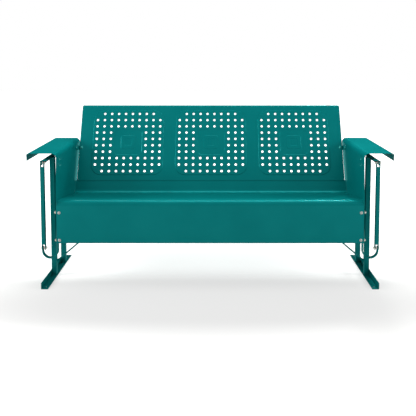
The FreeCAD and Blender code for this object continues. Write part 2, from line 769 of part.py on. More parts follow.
def makeBackBracket(label, side):
    # In the back's own frame: a tab behind its hem and a leg forward along the side panel
    body = newBody(label)
    reach = size("bracketWidth") / 2
    low, high = size("bracketAlong") - reach, size("bracketAlong") + reach
    gauge, hem = size("angleGauge"), size("2 * sheetGauge")
    along, ahead = size("bracketBoltAlong"), size("bracketBoltReach")
    corners = flatPoints((low, -hem - gauge), (high, -hem - gauge), (along + reach, ahead + reach),
                         (along - reach, ahead + reach))
    leg = newSketch(body, "leg", "YZ_Plane", f"{side} * sideInnerHalf")
    radii = [0, 0, size("bracketCorner"), size("bracketCorner")]
    draw(leg, chorded(roundedRuns(corners, radii, True), bendChords))
    pad(body, leg, "angleGauge", side > 0)
    tab = newSketch(body, "tab", "YZ_Plane", f"{side} * (sideInnerHalf - angleGauge)")
    draw(tab, boxRuns(low, high, -hem - gauge, -hem))
    pad(body, tab, "bracketLeg", side > 0)
    boltHolesAlongX(body, "legHole", [("bracketBoltAlong", "bracketBoltReach")])
    hole = newSketch(body, "tabHole", "XY_Plane")
    drawRing(hole, f"{side} * bracketBoltSide", "bracketAlong", "boltHoleRadius")
    pocket(body, hole, "4 * sheetGauge")
    return body


# Fasteners
def prism(radius, sides, bottom, top, topRadius=None):
    # Upright prism, or a frustum where the top has its own radius
    lower = ringPoints(Vector(0, 0, bottom), radius, sides, False)
    upper = ringPoints(Vector(0, 0, top), topRadius or radius, sides, False)
    lower.append(lower[0])
    upper.append(upper[0])
    faces = [Part.Face(Part.makePolygon(lower)), Part.Face(Part.makePolygon(upper))]
    for index in range(sides):
        corners = [lower[index], lower[index + 1], upper[index + 1], upper[index], lower[index]]
        faces.append(Part.Face(Part.makePolygon(corners)))
    solid = Part.Solid(Part.Shell(faces))
    if solid.Volume < 0:
        solid.reverse()
    return solid


def boltShape(grip, shankRadius="boltRadius"):
    # Low faceted head below the origin, shank up Z through the grip, hexagon nut on its far side
    head = prism(size("boltHeadRadius"), boltSides, 0, -size("boltHeadHeight"), size("boltHeadCrown"))
    shank = prism(size(shankRadius), boltSides, 0, grip)
    nut = prism(size("nutRadius"), nutSides, grip, grip + size("nutHeight"))
    return head.multiFuse([shank, nut]).removeSplitter()


def makeFasteners(label, items):
    # A set of separate solids, each a shape with its own place and heading
    feature = doc.addObject("Part::Feature", "Set_" + label)
    feature.Label = label
    solids = []
    for shape, place, heading in items:
        solid = shape.copy()
        solid.Placement = FreeCAD.Placement(place, Rotation(Vector(0, 0, 1), heading))
        solids.append(solid)
    feature.Shape = Part.makeCompound(solids)
    return feature


def pivotPlaces(height):
    for side in (-1, 1):
        for place in ("pivotFront", "pivotRear"):
            yield side, Vector(side * size("pivotSide"), size(place), size(height))


def makePivotBolts(label, height):
    # Bolts through both ears of each link, head outside
    half = size("linkWidth") / 2 + size("spacerClearance")
    shape = boltShape(2 * half, "pivotBoltRadius")
    items = []
    for side, centre in pivotPlaces(height):
        items.append((shape, centre + Vector(side * half, 0, 0), Vector(-side, 0, 0)))
    return makeFasteners(label, items)


def makeSpacers(label, height, flange):
    # A round spacer on each side of the fixed plate, between it and the link's ears
    inner = size("linkWidth / 2 - linkGauge - spacerClearance")
    plate = size(flange) / 2
    length = inner - plate
    bore = size("pivotBoltRadius + pivotClearance") / math.cos(math.pi / spacerSides)
    tube = prism(size("spacerRadius"), spacerSides, 0, length).cut(prism(bore, spacerSides, 0, length))
    items = []
    for side, centre in pivotPlaces(height):
        items.append((tube, centre + Vector(plate, 0, 0), Vector(1, 0, 0)))
        items.append((tube, centre - Vector(plate, 0, 0), Vector(-1, 0, 0)))
    return makeFasteners(label, items)


def makeHangerBolts(label):
    # Two bolts through side panel and hanger at each corner, domed heads inside the seat
    items = []
    for place, height, packing in hangerBoltPlaces:
        start = size(f"sideInnerHalf - {packing}")
        shape = boltShape(size(f"{packing} + sheetGauge + hangerGauge"))
        for side in (-1, 1):
            items.append((shape, Vector(side * start, size(place), size(height)), Vector(side, 0, 0)))
    return makeFasteners(label, items)


def makeApronBolts(label):
    # Domed heads on the apron's face, nuts behind the corner angles
    shape = boltShape(size("sheetGauge + angleGauge"))
    items = []
    for side in (-1, 1):
        for height in ("apronBoltLow", "apronBoltHigh"):
            place = Vector(side * size("apronBoltSide"), size("sideFront"), size(height))
            items.append((shape, place, Vector(0, 1, 0)))
    return makeFasteners(label, items)


def makeBracketBolts(label):
    # Upper fixings of the back: one through each side panel and one through each side of the back
    items = []
    through = boltShape(size("angleGauge + sheetGauge"))
    square = boltShape(size("2 * sheetGauge + angleGauge"))
    upper = slopePoint(size("bracketBoltAlong"), -size("bracketBoltReach"))
    onBack = slopePoint(size("bracketAlong"), 0)
    for side in (-1, 1):
        inside = side * size("sideInnerHalf - angleGauge")
        items.append((through, Vector(inside, upper.x, upper.y), Vector(side, 0, 0)))
        place = Vector(side * size("bracketBoltSide"), onBack.x, onBack.y)
        items.append((square, place, Vector(0, tiltCosine, -tiltSine)))
    return makeFasteners(label, items)


def makeTieBolts(label):
    # Bolts through the tie rod's eyes into the rear wall of the front posts
    shape = boltShape(size("tieEyeGauge + postWall"))
    items = []
    for side in (-1, 1):
        place = Vector(side * size("postInnerHalf + postWidth / 2"), size("postWidth + tieEyeGauge"),
                       size("tieRodEyeHeight"))
        items.append((shape, place, Vector(0, -1, 0)))
    return makeFasteners(label, items)


# The whole object
pieces = []
for side, name in ((-1, "left"), (1, "right")):
    pieces.append(makeFoot("foot_" + name, side))
    pieces.append(makePost("front_post_" + name, side, "0", True))
    pieces.append(makePost("rear_post_" + name, side, "postSpacing", False))
    pieces.append(makeRail("top_rail_" + name, side))
    pieces.append(makeLink("link_front_" + name, side, "pivotFront", -1))
    pieces.append(makeLink("link_rear_" + name, side, "pivotRear", 1))
    pieces.append(makeHanger("hanger_front_" + name, side, "pivotFront", "hangerBoltHigh"))
    pieces.append(makeHanger("hanger_rear_" + name, side, "pivotRear", "hangerRearBoltHigh"))
    pieces.append(makeArm("arm_shell_" + name, side))
    pieces.append(makeCornerAngle("corner_angle_" + name, side))
pieces.append(makeTieRod("tie_rod"))
pieces.append(makePan("seat_pan"))
tilted = FreeCAD.Placement(Vector(0, size("seamPlace"), size("seamHeight")),
                           Rotation(Vector(1, 0, 0), 90 - size("backTilt")))
for piece in (makeBack("back_panel"), makeBackBracket("back_bracket_left", -1),
              makeBackBracket("back_bracket_right", 1)):
    piece.Placement = tilted
    pieces.append(piece)
pieces.append(makePivotBolts("upper_pivot_bolts", "pivotTop"))
pieces.append(makePivotBolts("lower_pivot_bolts", "pivotLow"))
pieces.append(makeSpacers("upper_spacers", "pivotTop", "railGauge"))
pieces.append(makeSpacers("lower_spacers", "pivotLow", "hangerGauge"))
pieces.append(makeHangerBolts("hanger_bolts"))
pieces.append(makeApronBolts("apron_bolts"))
pieces.append(makeBracketBolts("bracket_bolts"))
pieces.append(makeTieBolts("tie_bolts"))
doc.recompute()

# The origin lies on the floor, midway between the front of the feet and the rear of the back
frontEnd = min(piece.Shape.BoundBox.YMin for piece in pieces)
rearEnd = max(piece.Shape.BoundBox.YMax for piece in pieces)
middle = (frontEnd + rearEnd) / 2
for piece in pieces:
    move = FreeCAD.Placement(Vector(0, -middle, 0), Rotation())
    piece.Placement = move.multiply(piece.Placement)
doc.recompute()

# Every object is checked before anything is written
for item in doc.Objects:
    if "Invalid" in item.State or "Error" in item.State:
        raise RuntimeError("failed: " + item.Label)
for piece in pieces:
    if piece.Shape.isNull() or not piece.Shape.isValid() or not piece.Shape.Solids:
        raise RuntimeError("bad shape: " + piece.Label)

os.makedirs("parts", exist_ok=True)
for piece in pieces:
    piece.Shape.exportStep(f"parts/{piece.Label}.step")
    print(piece.Label, len(piece.Shape.Solids), round(piece.Shape.Volume))
print("depth", round(rearEnd - frontEnd, 3), "middle", round(middle, 3))
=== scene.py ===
import bpy
import math
from math import cos, pi, radians, sin, tau
from mathutils import Matrix, Vector
from mathutils.geometry import delaunay_2d_cdt


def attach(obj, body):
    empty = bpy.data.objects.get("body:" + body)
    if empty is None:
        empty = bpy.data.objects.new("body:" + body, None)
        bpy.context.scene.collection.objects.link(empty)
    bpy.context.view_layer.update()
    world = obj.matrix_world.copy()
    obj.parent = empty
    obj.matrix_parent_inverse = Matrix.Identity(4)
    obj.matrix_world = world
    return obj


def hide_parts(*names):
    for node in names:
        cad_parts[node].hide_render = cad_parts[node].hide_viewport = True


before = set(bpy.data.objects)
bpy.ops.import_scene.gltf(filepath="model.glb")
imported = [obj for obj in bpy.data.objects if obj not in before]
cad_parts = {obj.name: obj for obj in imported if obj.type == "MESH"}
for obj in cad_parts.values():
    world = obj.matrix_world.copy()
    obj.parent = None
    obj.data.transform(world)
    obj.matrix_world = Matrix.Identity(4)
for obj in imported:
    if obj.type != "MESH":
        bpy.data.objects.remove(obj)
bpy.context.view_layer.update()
print("frame loaded")

# Lengths below are millimetres. Depths start at the front posts' front face.
mm = 0.001
middle = 185.054

bench = {
    "sideInner": 794, "gauge": 2, "bracketGauge": 3, "sideBottom": 208, "sideFront": -104, "sideRear": 343,
    "armTop": 677, "armFront": -85, "armRear": 484,
    "panFrontTop": 431, "panRearTop": 372,
    "seamBack": 350, "seamUp": 442.7, "tilt": radians(25.1),
    "pivotSide": 868, "pivotFront": -83, "pivotRear": 314, "pivotTop": 628, "pivotLow": 178,
    "postInner": 826, "postWidth": 27, "postSpacing": 204,
}
sides = ((-1, "left"), (1, "right"))


def spot(across, back, up):
    return Vector((across, back - middle, up)) * mm


def slopeSpot(across, along, ahead):
    # A place on the back: across, up its slope and in front of its face
    sine, cosine = sin(bench["tilt"]), cos(bench["tilt"])
    return spot(across, bench["seamBack"] + along * sine - ahead * cosine,
                bench["seamUp"] + along * cosine + ahead * sine)


def slopeHeading(along, ahead):
    return slopeSpot(0, along, ahead) - slopeSpot(0, 0, 0)


# Finishes
class Wire:
    # A socket that takes part in sums: each operator adds the node that works it out
    def __init__(self, finish, socket):
        self.finish, self.socket = finish, socket

    def join(self, operation, other, swapped=False):
        pair = (other, self) if swapped else (self, other)
        kind = "VectorMath" if self.socket.type == "VECTOR" else "Math"
        return self.finish.node(kind, {"operation": operation}, {0: pair[0], 1: pair[1]})

    def __add__(self, other): return self.join("ADD", other)
    def __radd__(self, other): return self.join("ADD", other, True)
    def __sub__(self, other): return self.join("SUBTRACT", other)
    def __rsub__(self, other): return self.join("SUBTRACT", other, True)
    def __mul__(self, other): return self.join("MULTIPLY", other)
    def __rmul__(self, other): return self.join("MULTIPLY", other, True)


class Finish:
    # One material, or the studio's light, under construction
    def __init__(self, name, book=bpy.data.materials):
        self.material = book.new(name)
        self.material.use_nodes = True
        self.tree = self.material.node_tree
        self.tree.nodes.clear()

    def node(self, kind, settings=None, values=None, out=0):
        made = self.tree.nodes.new("ShaderNode" + kind)
        for key, value in (settings or {}).items():
            if key == "stops":
                ramp = made.color_ramp
                while len(ramp.elements) < len(value):
                    ramp.elements.new(0.5)
                for element, (place, colour) in zip(ramp.elements, value):
                    element.position, element.color = place, colour
            else:
                setattr(made, key, value)
        for key, value in (values or {}).items():
            socket = made.inputs[key]
            if isinstance(value, Wire):
                self.tree.links.new(value.socket, socket)
            elif isinstance(value, (int, float)) and socket.type in ("VECTOR", "RGBA"):
                socket.default_value = [value] * 3 + [1] * (socket.type == "RGBA")
            else:
                socket.default_value = value
        return Wire(self, made.outputs[out]) if made.outputs else None

    def place(self):
        # Object coordinates
        return self.node("TexCoord", out=3)

    def part(self, vector, axis):
        return self.node("SeparateXYZ", None, {0: vector}, axis)

    def noise(self, scale, detail=2.0, rough=0.5):
        return self.node("TexNoise", None, {"Vector": self.place(), "Scale": scale, "Detail": detail,
                                            "Roughness": rough})

    def stepped(self, wire, low, high, fromValue=0.0, toValue=1.0):
        # The wire's stretch from low to high, eased on to fromValue to toValue
        return self.node("MapRange", {"interpolation_type": "SMOOTHSTEP"},
                         {0: wire, 1: low, 2: high, 3: fromValue, 4: toValue})

    def distance(self, vector):
        return self.node("VectorMath", {"operation": "LENGTH"}, {0: vector}, 1)

    def blend(self, share, first, second):
        return self.node("Mix", {"data_type": "RGBA"}, {0: share, 6: first, 7: second}, 2)

    def shade(self, values):
        surface = self.node("BsdfPrincipled", None, values)
        self.node("OutputMaterial", None, {"Surface": surface})
        return self.material


def colour(red, green, blue):
    return (red, green, blue, 1.0)


powderCoat = {
    "tones": (colour(0.0005, 0.142, 0.143), colour(0.0008, 0.150, 0.151), colour(0.0014, 0.158, 0.158)),
    "dustAndTopLight": colour(0.008, 0.190, 0.186), "gloss": colour(0.05, 0.62, 0.60), "flake": 0.34, "roughness": 0.30,
    "peelSize": 420, "peelDepth": 0.00006, "wear": 0.0,
}
frameCoat = {
    "tones": (colour(0.0008, 0.108, 0.107), colour(0.0014, 0.128, 0.126), colour(0.0030, 0.144, 0.141)),
    "dustAndTopLight": colour(0.010, 0.160, 0.155), "gloss": colour(0.08, 0.66, 0.62), "flake": 0.24, "roughness": 0.30,
    "peelSize": 520, "peelDepth": 0.00008, "wear": 0.0,
}
# Bolt and rivet heads: the teal paint made lighter, a painted highlight so the small domes show as light spots; the
# grey patches are wear
highlitHeadCoat = {
    "tones": (colour(0.012, 0.22, 0.21), colour(0.022, 0.27, 0.25), colour(0.04, 0.33, 0.30)),
    "dustAndTopLight": colour(0.06, 0.36, 0.33), "gloss": colour(0.2, 0.7, 0.66), "flake": 0.3, "roughness": 0.26,
    "peelSize": 520, "peelDepth": 0.00008, "wear": 0.3,
}


def coatMaterial(name, look):
    # Gloss powder coat: cloudy colour, orange peel, faint rubbing marks, and on what faces up a little dustiness
    # (rougher) with a painted top light (lighter teal)
    coat = Finish(name)
    clouds = coat.noise(5.5, 3.0, 0.55)
    grain = coat.noise(1400, 1.0)
    rubbed = coat.noise(34, 4.0, 0.62)
    tone = coat.node("ValToRGB", {"stops": tuple(zip((0.30, 0.52, 0.74), look["tones"]))},
                     {"Fac": clouds * 0.95 + grain * 0.05})
    facing = coat.part(coat.node("NewGeometry", out=3), 2)
    # Painted top light: faces that point up are blended towards a lighter teal; the same share makes them rougher,
    # as dustiness
    topLightAndDust = coat.stepped(facing, 0.55, 1.0) * (0.10 + coat.stepped(coat.noise(11, 4.0, 0.55), 0.35, 0.75) * 0.06)
    body = coat.blend(topLightAndDust, tone, look["dustAndTopLight"])
    if look["wear"]:
        bare = coat.stepped(coat.noise(160, 4.0, 0.7), 0.60, 0.72) * look["wear"]
        body = coat.blend(bare, coat.blend(0.35, body, look["dustAndTopLight"]), colour(0.34, 0.36, 0.34))
    rough = look["roughness"] + coat.stepped(rubbed, 0.45, 0.85) * 0.014 + topLightAndDust * 0.3 + grain * 0.01
    peel = coat.noise(look["peelSize"], 2.0, 0.4)
    waves = coat.noise(38, 1.0)
    bump = coat.node("Bump", None, {"Strength": 0.2, "Distance": look["peelDepth"], "Height": peel + waves * 0.8})
    # The gloss takes the paint's own colour, as metallic flake under lacquer does
    return coat.shade({"Base Color": body, "Roughness": rough, "Normal": bump, "Metallic": look["flake"],
                       "Specular IOR Level": 0.0, "Specular Tint": look["gloss"],
                       "Coat Weight": 0.06, "Coat Roughness": 0.18})


plating = {"bright": colour(0.72, 0.70, 0.62), "dull": colour(0.50, 0.49, 0.44), "rust": colour(0.26, 0.15, 0.08),
           "roughness": 0.34}


def zincMaterial(name, look):
    # Zinc plate: warm grey metal with soft spangle, a fine grainy bump and a few dull freckles
    zinc = Finish(name)
    spangle = zinc.node("TexVoronoi", None, {"Vector": zinc.place(), "Scale": 700.0}, 1)
    patches = zinc.noise(120, 3.0)
    tone = zinc.node("ValToRGB", {"stops": ((0.32, look["dull"]), (0.66, look["bright"]))}, {"Fac": patches})
    spots = zinc.stepped(zinc.noise(310, 3.0, 0.65), 0.66, 0.76) * 0.5
    body = zinc.blend(spots, zinc.blend(0.12, tone, spangle), look["rust"])
    rough = look["roughness"] + patches * 0.16 + spots * 0.35
    bump = zinc.node("Bump", None, {"Strength": 0.4, "Distance": 0.00006, "Height": zinc.noise(900, 2.0)})
    return zinc.shade({"Base Color": body, "Metallic": 1.0 - spots * 0.8, "Roughness": rough, "Normal": bump})


def enamelMaterial(name):
    # Pale enamel on the bolt heads that show on the apron
    enamel = Finish(name)
    patches = enamel.noise(140, 3.0)
    chips = enamel.stepped(enamel.noise(260, 4.0, 0.7), 0.68, 0.74)
    tone = enamel.node("ValToRGB", {"stops": ((0.35, colour(0.24, 0.27, 0.255)), (0.7, colour(0.34, 0.37, 0.35)))},
                       {"Fac": patches})
    body = enamel.blend(chips * 0.6, tone, colour(0.30, 0.27, 0.22))
    bump = enamel.node("Bump", None, {"Strength": 0.4, "Distance": 0.00008, "Height": enamel.noise(700, 2.0)})
    return enamel.shade({"Base Color": body, "Roughness": 0.34 + patches * 0.12, "Normal": bump,
                         "Metallic": chips * 0.5})


def nylonMaterial(name):
    # Natural nylon, a little waxy, with grey grease marks
    nylon = Finish(name)
    marks = nylon.stepped(nylon.noise(90, 4.0, 0.6), 0.50, 0.74)
    body = nylon.blend(marks * 0.4, colour(0.72, 0.70, 0.64), colour(0.42, 0.42, 0.39))
    bump = nylon.node("Bump", None, {"Strength": 0.3, "Distance": 0.00008, "Height": nylon.noise(600, 2.0)})
    return nylon.shade({"Base Color": body, "Roughness": 0.46 + marks * 0.14, "Normal": bump,
                        "Subsurface Weight": 0.08, "Subsurface Radius": (0.004, 0.004, 0.004)})


tealSheet = coatMaterial("tealSheet", powderCoat)
tealFrame = coatMaterial("tealFrame", frameCoat)
# Lighter teal for the bolt and rivet heads: painted highlight
highlitTealHead = coatMaterial("highlitTealHead", highlitHeadCoat)
zincPlate = zincMaterial("zincPlate", plating)
headEnamel = enamelMaterial("headEnamel")
nylonWhite = nylonMaterial("nylonWhite")
print("finishes mixed")


def addObject(name, data):
    made = bpy.data.objects.new(name, data)
    bpy.context.scene.collection.objects.link(made)
    return made


# Shapes
class Shape:
    # Points and faces of one piece as it is built up, each face with its finish's number
    def __init__(self):
        self.points, self.faces, self.slots = [], [], []

    def skin(self, rings, slot=0, where=None, capped=True):
        # A skin over closed rings of equal point counts
        start, count = len(self.points), len(rings[0])
        self.points += [where @ point if where else point for ring in rings for point in ring]
        end = len(self.points) - count
        for ring in range(start, end, count):
            for step in range(count):
                near, far = ring + step, ring + (step + 1) % count
                self.faces.append([near, far, far + count, near + count])
        if capped:
            self.faces += [list(range(start, start + count))[::-1], list(range(end, end + count))]
        self.slots += [slot] * (len(self.faces) - len(self.slots))


def dress(name, mesh, materials, body, nodes, smooth=38):
    # The finished mesh as a piece of the object, with its finishes, smooth shading and its body
    piece = addObject(name, mesh)
    for material in materials:
        mesh.materials.append(material)
    mesh.shade_smooth()
    mesh.set_sharp_from_angle(angle=radians(smooth))
    weighted = piece.modifiers.new("evenShading", "WEIGHTED_NORMAL")
    weighted.keep_sharp = True
    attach(piece, body)
    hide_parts(*nodes)


def settled(mesh, changes):
    # The mesh after its modifiers, as plain geometry
    holder = addObject("holder", mesh)
    for kind, settings in changes:
        modifier = holder.modifiers.new(kind.lower(), kind)
        for key, value in settings.items():
            setattr(modifier, key, value)
    bpy.context.view_layer.update()
    shown = holder.evaluated_get(bpy.context.evaluated_depsgraph_get())
    result = bpy.data.meshes.new_from_object(shown)
    bpy.data.objects.remove(holder)
    return result


def meshOf(name, shape, bevel=0.0, angle=35):
    mesh = bpy.data.meshes.new(name)
    mesh.from_pydata(shape.points, [], shape.faces)
    mesh.polygons.foreach_set("material_index", shape.slots)
    mesh.update()
    if not bevel:
        return mesh
    return settled(mesh, [("BEVEL", {"width": bevel * mm, "segments": 2, "limit_method": "ANGLE",
                                     "angle_limit": radians(angle), "miter_outer": "MITER_ARC"})])


class BentPath:
    # A sheet's section: straight runs joined by bends, walked by the length along the sheet
    def __init__(self, points, radii):
        points = [Vector(point) for point in points]
        self.runs, self.length = [], 0.0
        place = points[0]
        for index in range(1, len(points)):
            heading = (points[index] - points[index - 1]).normalized()
            turn = reach = 0.0
            if index < len(points) - 1 and radii[index]:
                after = (points[index + 1] - points[index]).normalized()
                turn = math.atan2(heading.x * after.y - heading.y * after.x, heading.dot(after))
                reach = radii[index] * math.tan(abs(turn) / 2)
            end = points[index] - heading * reach
            self.addRun(place, heading, (end - place).length, 0.0)
            place = end
            if reach:
                self.addRun(place, heading, radii[index] * abs(turn), math.copysign(1 / radii[index], turn))
                place, normal = self.at(self.length)

    def addRun(self, place, heading, length, bend):
        self.runs.append((self.length, length, place, heading, bend))
        self.length += length

    def at(self, along):
        # The place there and the direction to the left of the path
        run = next((run for run in self.runs if along <= run[0] + run[1]), self.runs[-1])
        start, length, place, heading, bend = run
        step = along - start
        left = Vector((-heading.y, heading.x))
        if not bend:
            return place + heading * step, left
        turn = bend * step
        point = place + heading * (sin(turn) / bend) + left * ((1 - cos(turn)) / bend)
        return point, left * cos(turn) - heading * sin(turn)

    def creases(self, step=6.0):
        # Lengths at which the bends are divided, each bend's ends included
        places = set()
        for start, length, place, heading, bend in self.runs:
            if bend:
                count = max(2, math.ceil(math.degrees(abs(bend) * length) / step))
                places.update(start + length * index / count for index in range(count + 1))
        return sorted(place for place in places if 0.01 < place < self.length - 0.01)


def inside(point, loop):
    # Whether a flat point lies inside a closed loop
    hit = False
    for (ax, ay), (bx, by) in zip(loop, loop[1:] + loop[:1]):
        if (ay > point[1]) != (by > point[1]) and point[0] < (bx - ax) * (point[1] - ay) / (by - ay) + ax:
            hit = not hit
    return hit


def cutBlank(outline, holes=(), lines=()):
    # Triangles of a flat blank with its outline, its round holes and its crease lines
    coords, edges, owners = [], [], []

    def addLoop(loop, owner, closed=True):
        start = len(coords)
        coords.extend(Vector(point) for point in loop)
        owners.extend([owner] * len(loop))
        count = len(loop)
        steps = count if closed else count - 1
        edges.extend((start + index, start + (index + 1) % count) for index in range(steps))

    addLoop(outline, -1)
    for number, hole in enumerate(holes):
        addLoop(hole, number)
    for line in lines:
        addLoop(line, -1, len(line) > 2)
    points, found, faces, fromPoints, fromEdges, fromFaces = delaunay_2d_cdt(coords, edges, [], 0, 1e-4)
    owner = [max((owners[index] for index in source), default=-1) for source in fromPoints]
    kept = []
    for face in faces:
        if owner[face[0]] >= 0 and all(owner[index] == owner[face[0]] for index in face):
            continue
        if inside(sum((points[index] for index in face), Vector((0, 0))) / 3, outline):
            kept.append(list(face))
    used = sorted({index for face in kept for index in face})
    fresh = {old: new for new, old in enumerate(used)}
    return [points[index] for index in used], [[fresh[index] for index in face] for face in kept]


def pressSheet(name, blank, formed, gauge, edge=0.45, lips=None):
    # The blank bent into shape: formed gives place and outward direction, the thickness lies behind it
    flat, faces = blank
    points = [formed(*point)[0] * mm for point in flat]
    if lips:
        faces = faces + [[len(points) + index for index in face] for face in lips.faces]
        points += lips.points
    first, second, third = faces[0]
    turned = (points[second] - points[first]).cross(points[third] - points[first])
    if turned.dot(formed(*flat[first])[1]) < 0:
        faces = [face[::-1] for face in faces]
    mesh = bpy.data.meshes.new(name)
    mesh.from_pydata(points, [], faces)
    mesh.update()
    return settled(mesh, [
        ("WELD", {"merge_threshold": 0.00002}),
        ("SOLIDIFY", {"thickness": gauge * mm, "use_even_offset": True}),
        ("BEVEL", {"width": edge * mm, "segments": 2, "limit_method": "ANGLE", "angle_limit": radians(50)}),
    ])


def arcPoints(centre, radius, start, end, count):
    # Points of an arc, its ends in degrees
    turns = [radians(start + (end - start) * step / count) for step in range(count + 1)]
    return [(centre[0] + radius * cos(turn), centre[1] + radius * sin(turn)) for turn in turns]


def roundedBox(centre, wide, high, radius, count=8):
    # Closed loop of a rounded rectangle of half sizes wide and high
    loop = []
    for signX, signY, start in ((1, 1, 0), (-1, 1, 90), (-1, -1, 180), (1, -1, 270)):
        cornerPoint = (centre[0] + signX * (wide - radius), centre[1] + signY * (high - radius))
        loop += arcPoints(cornerPoint, radius, start, start + 90, count)
    return loop


def around(count):
    return [tau * step / count for step in range(count)]


def ringAt(centre, radius, count):
    return [(centre[0] + radius * cos(turn), centre[1] + radius * sin(turn)) for turn in around(count)]


# Seat pan
pan = {"half": 793.7, "roll": 28, "rearBend": 35, "hem": 20, "hemBend": 5, "overlap": 25, "notchHalf": 765,
       "seamGap": 0.4, "earLength": 60, "earMargin": 14, "earCorner": 8, "earBoltUp": 347, "earGap": 1.2,
       "earSlant": (28, 4)}


def panPath():
    gauge, front = bench["gauge"], bench["sideFront"]
    sine, cosine = sin(bench["tilt"]), cos(bench["tilt"])
    centre = Vector((front + pan["roll"], bench["panFrontTop"] - pan["roll"]))
    rear = Vector((bench["seamBack"] + cosine * gauge, bench["seamUp"] - sine * gauge))
    rear = rear - Vector((sine, cosine)) * ((rear.y - bench["panRearTop"]) / cosine)
    reach = rear - centre
    slope = math.asin(pan["roll"] / reach.length) - math.atan2(reach.y, reach.x)
    crest = rear.y + (rear.x - front) * math.tan(slope)
    along = pan["overlap"] + (bench["seamUp"] - gauge * sine - rear.y) / cosine
    top = rear + Vector((sine, cosine)) * along
    points = [(front + pan["hem"], bench["sideBottom"]), (front, bench["sideBottom"]), (front, crest), rear, top]
    return BentPath(points, [0, pan["hemBend"], pan["roll"], pan["rearBend"], 0]), slope, rear


def makePan():
    path, slope, rear = panPath()
    half, narrow = pan["half"], pan["notchHalf"]
    # The shoulders end just under the back's lower edge, found to a quarter of a millimetre
    quarters = range(int(path.length - 60) * 4, int(path.length) * 4)
    shoulder = next(place / 4 for place in quarters if path.at(place / 4)[0].y > bench["seamUp"] - pan["seamGap"])
    outline = [(-half, 0), (half, 0), (half, shoulder), (narrow, shoulder), (narrow, path.length),
               (-narrow, path.length), (-narrow, shoulder), (-half, shoulder)]
    lines = [((-half - 5, place), (half + 5, place)) for place in path.creases()]
    blank = cutBlank(outline, lines=lines)

    def formed(across, along):
        point, left = path.at(along)
        return Vector((across, point.x - middle, point.y)), Vector((0, left.x, left.y))

    mesh = pressSheet("seatPan", blank, formed, bench["gauge"])
    dress("seatPan", mesh, [tealSheet], "seat", ["seat_pan"])
    # The ears at the rear corners that the upper rear hanger bolts hold
    ears = Shape()
    low = pan["earBoltUp"] - pan["earMargin"]
    front, rearEnd = bench["pivotRear"] - pan["earLength"], bench["pivotRear"] + pan["earMargin"]
    slant, drop = pan["earSlant"]
    frontTop, rearTop = (rear.y + (rear.x - place) * math.tan(slope) - pan["earGap"]
                         for place in (front, rearEnd - slant))
    corner = pan["earCorner"]
    edge = ([(front, frontTop)] + arcPoints((front + corner, low + corner), corner, 180, 270, 5)
            + arcPoints((rearEnd - corner, low + corner), corner, 270, 360, 5)
            + [(rearEnd, rearTop - drop), (rearEnd - slant, rearTop)])
    for side, name in sides:
        inner, outer = side * (pan["half"] - bench["gauge"]), side * pan["half"]
        ears.skin([[spot(inner, *point) for point in edge], [spot(outer, *point) for point in edge]])
    dress("seatEars", meshOf("seatEars", ears, 0.4), [tealSheet], "seat", ["seat_pan"])


makePan()
print("seat pan pressed")

# Perforated back
back = {
    "half": 787, "height": 473, "flange": 20, "roll": 11, "return": 14, "returnBend": 5, "corner": 9,
    "hem": 20, "hemNose": 2,
    "pitch": 42.199, "rowPitch": 39.699, "firstRow": 55.814, "groupSpacing": 497.384,
    "fixingSide": 774, "fixingAlong": 201,
    # Radius and depth of each ring of a hole's lip, from the outside in
    "lip": ((9.2, 0.0), (8.1, 0.28), (7.3, 0.62), (6.8, 1.0)), "holeSides": 24,
    # Half width, half height, corner, step height and its ramp, from the outside in
    "steps": ((212.9, 201.65, 60, 2.0, 2.6), (84, 79, 28, -1.2, 2.8),
              (44, 42, 14, 1.0, 2.8), (23.5, 22.5, 7, -0.8, 2.6)),
}


def groupCentre(group):
    return group * back["groupSpacing"], back["firstRow"] + 4.5 * back["rowPitch"]


def reliefAt(across, along):
    # Height of the pressed steps in front of the plain sheet
    total = 0.0
    group = round(across / back["groupSpacing"])
    centre = groupCentre(group)
    for wide, high, corner, height, ramp in back["steps"]:
        outX = abs(across - centre[0]) - (wide - corner)
        outY = abs(along - centre[1]) - (high - corner)
        outside = math.hypot(max(outX, 0), max(outY, 0)) + min(max(outX, outY), 0) - corner
        share = min(max(-outside / ramp, 0.0), 1.0)
        total += height * share * share * (3 - 2 * share)
    return total


def holePlaces():
    # Ten by ten in each group, without its corners and its middle
    places = []
    for group in (-1, 0, 1):
        across, along = groupCentre(group)
        for row in range(10):
            for column in range(10):
                atCorner, atMiddle = row in (0, 9) and column in (0, 9), 3 <= row <= 6 and 3 <= column <= 6
                if not (atCorner or atMiddle):
                    places.append((across + (column - 4.5) * back["pitch"], along + (row - 4.5) * back["rowPitch"]))
    return places


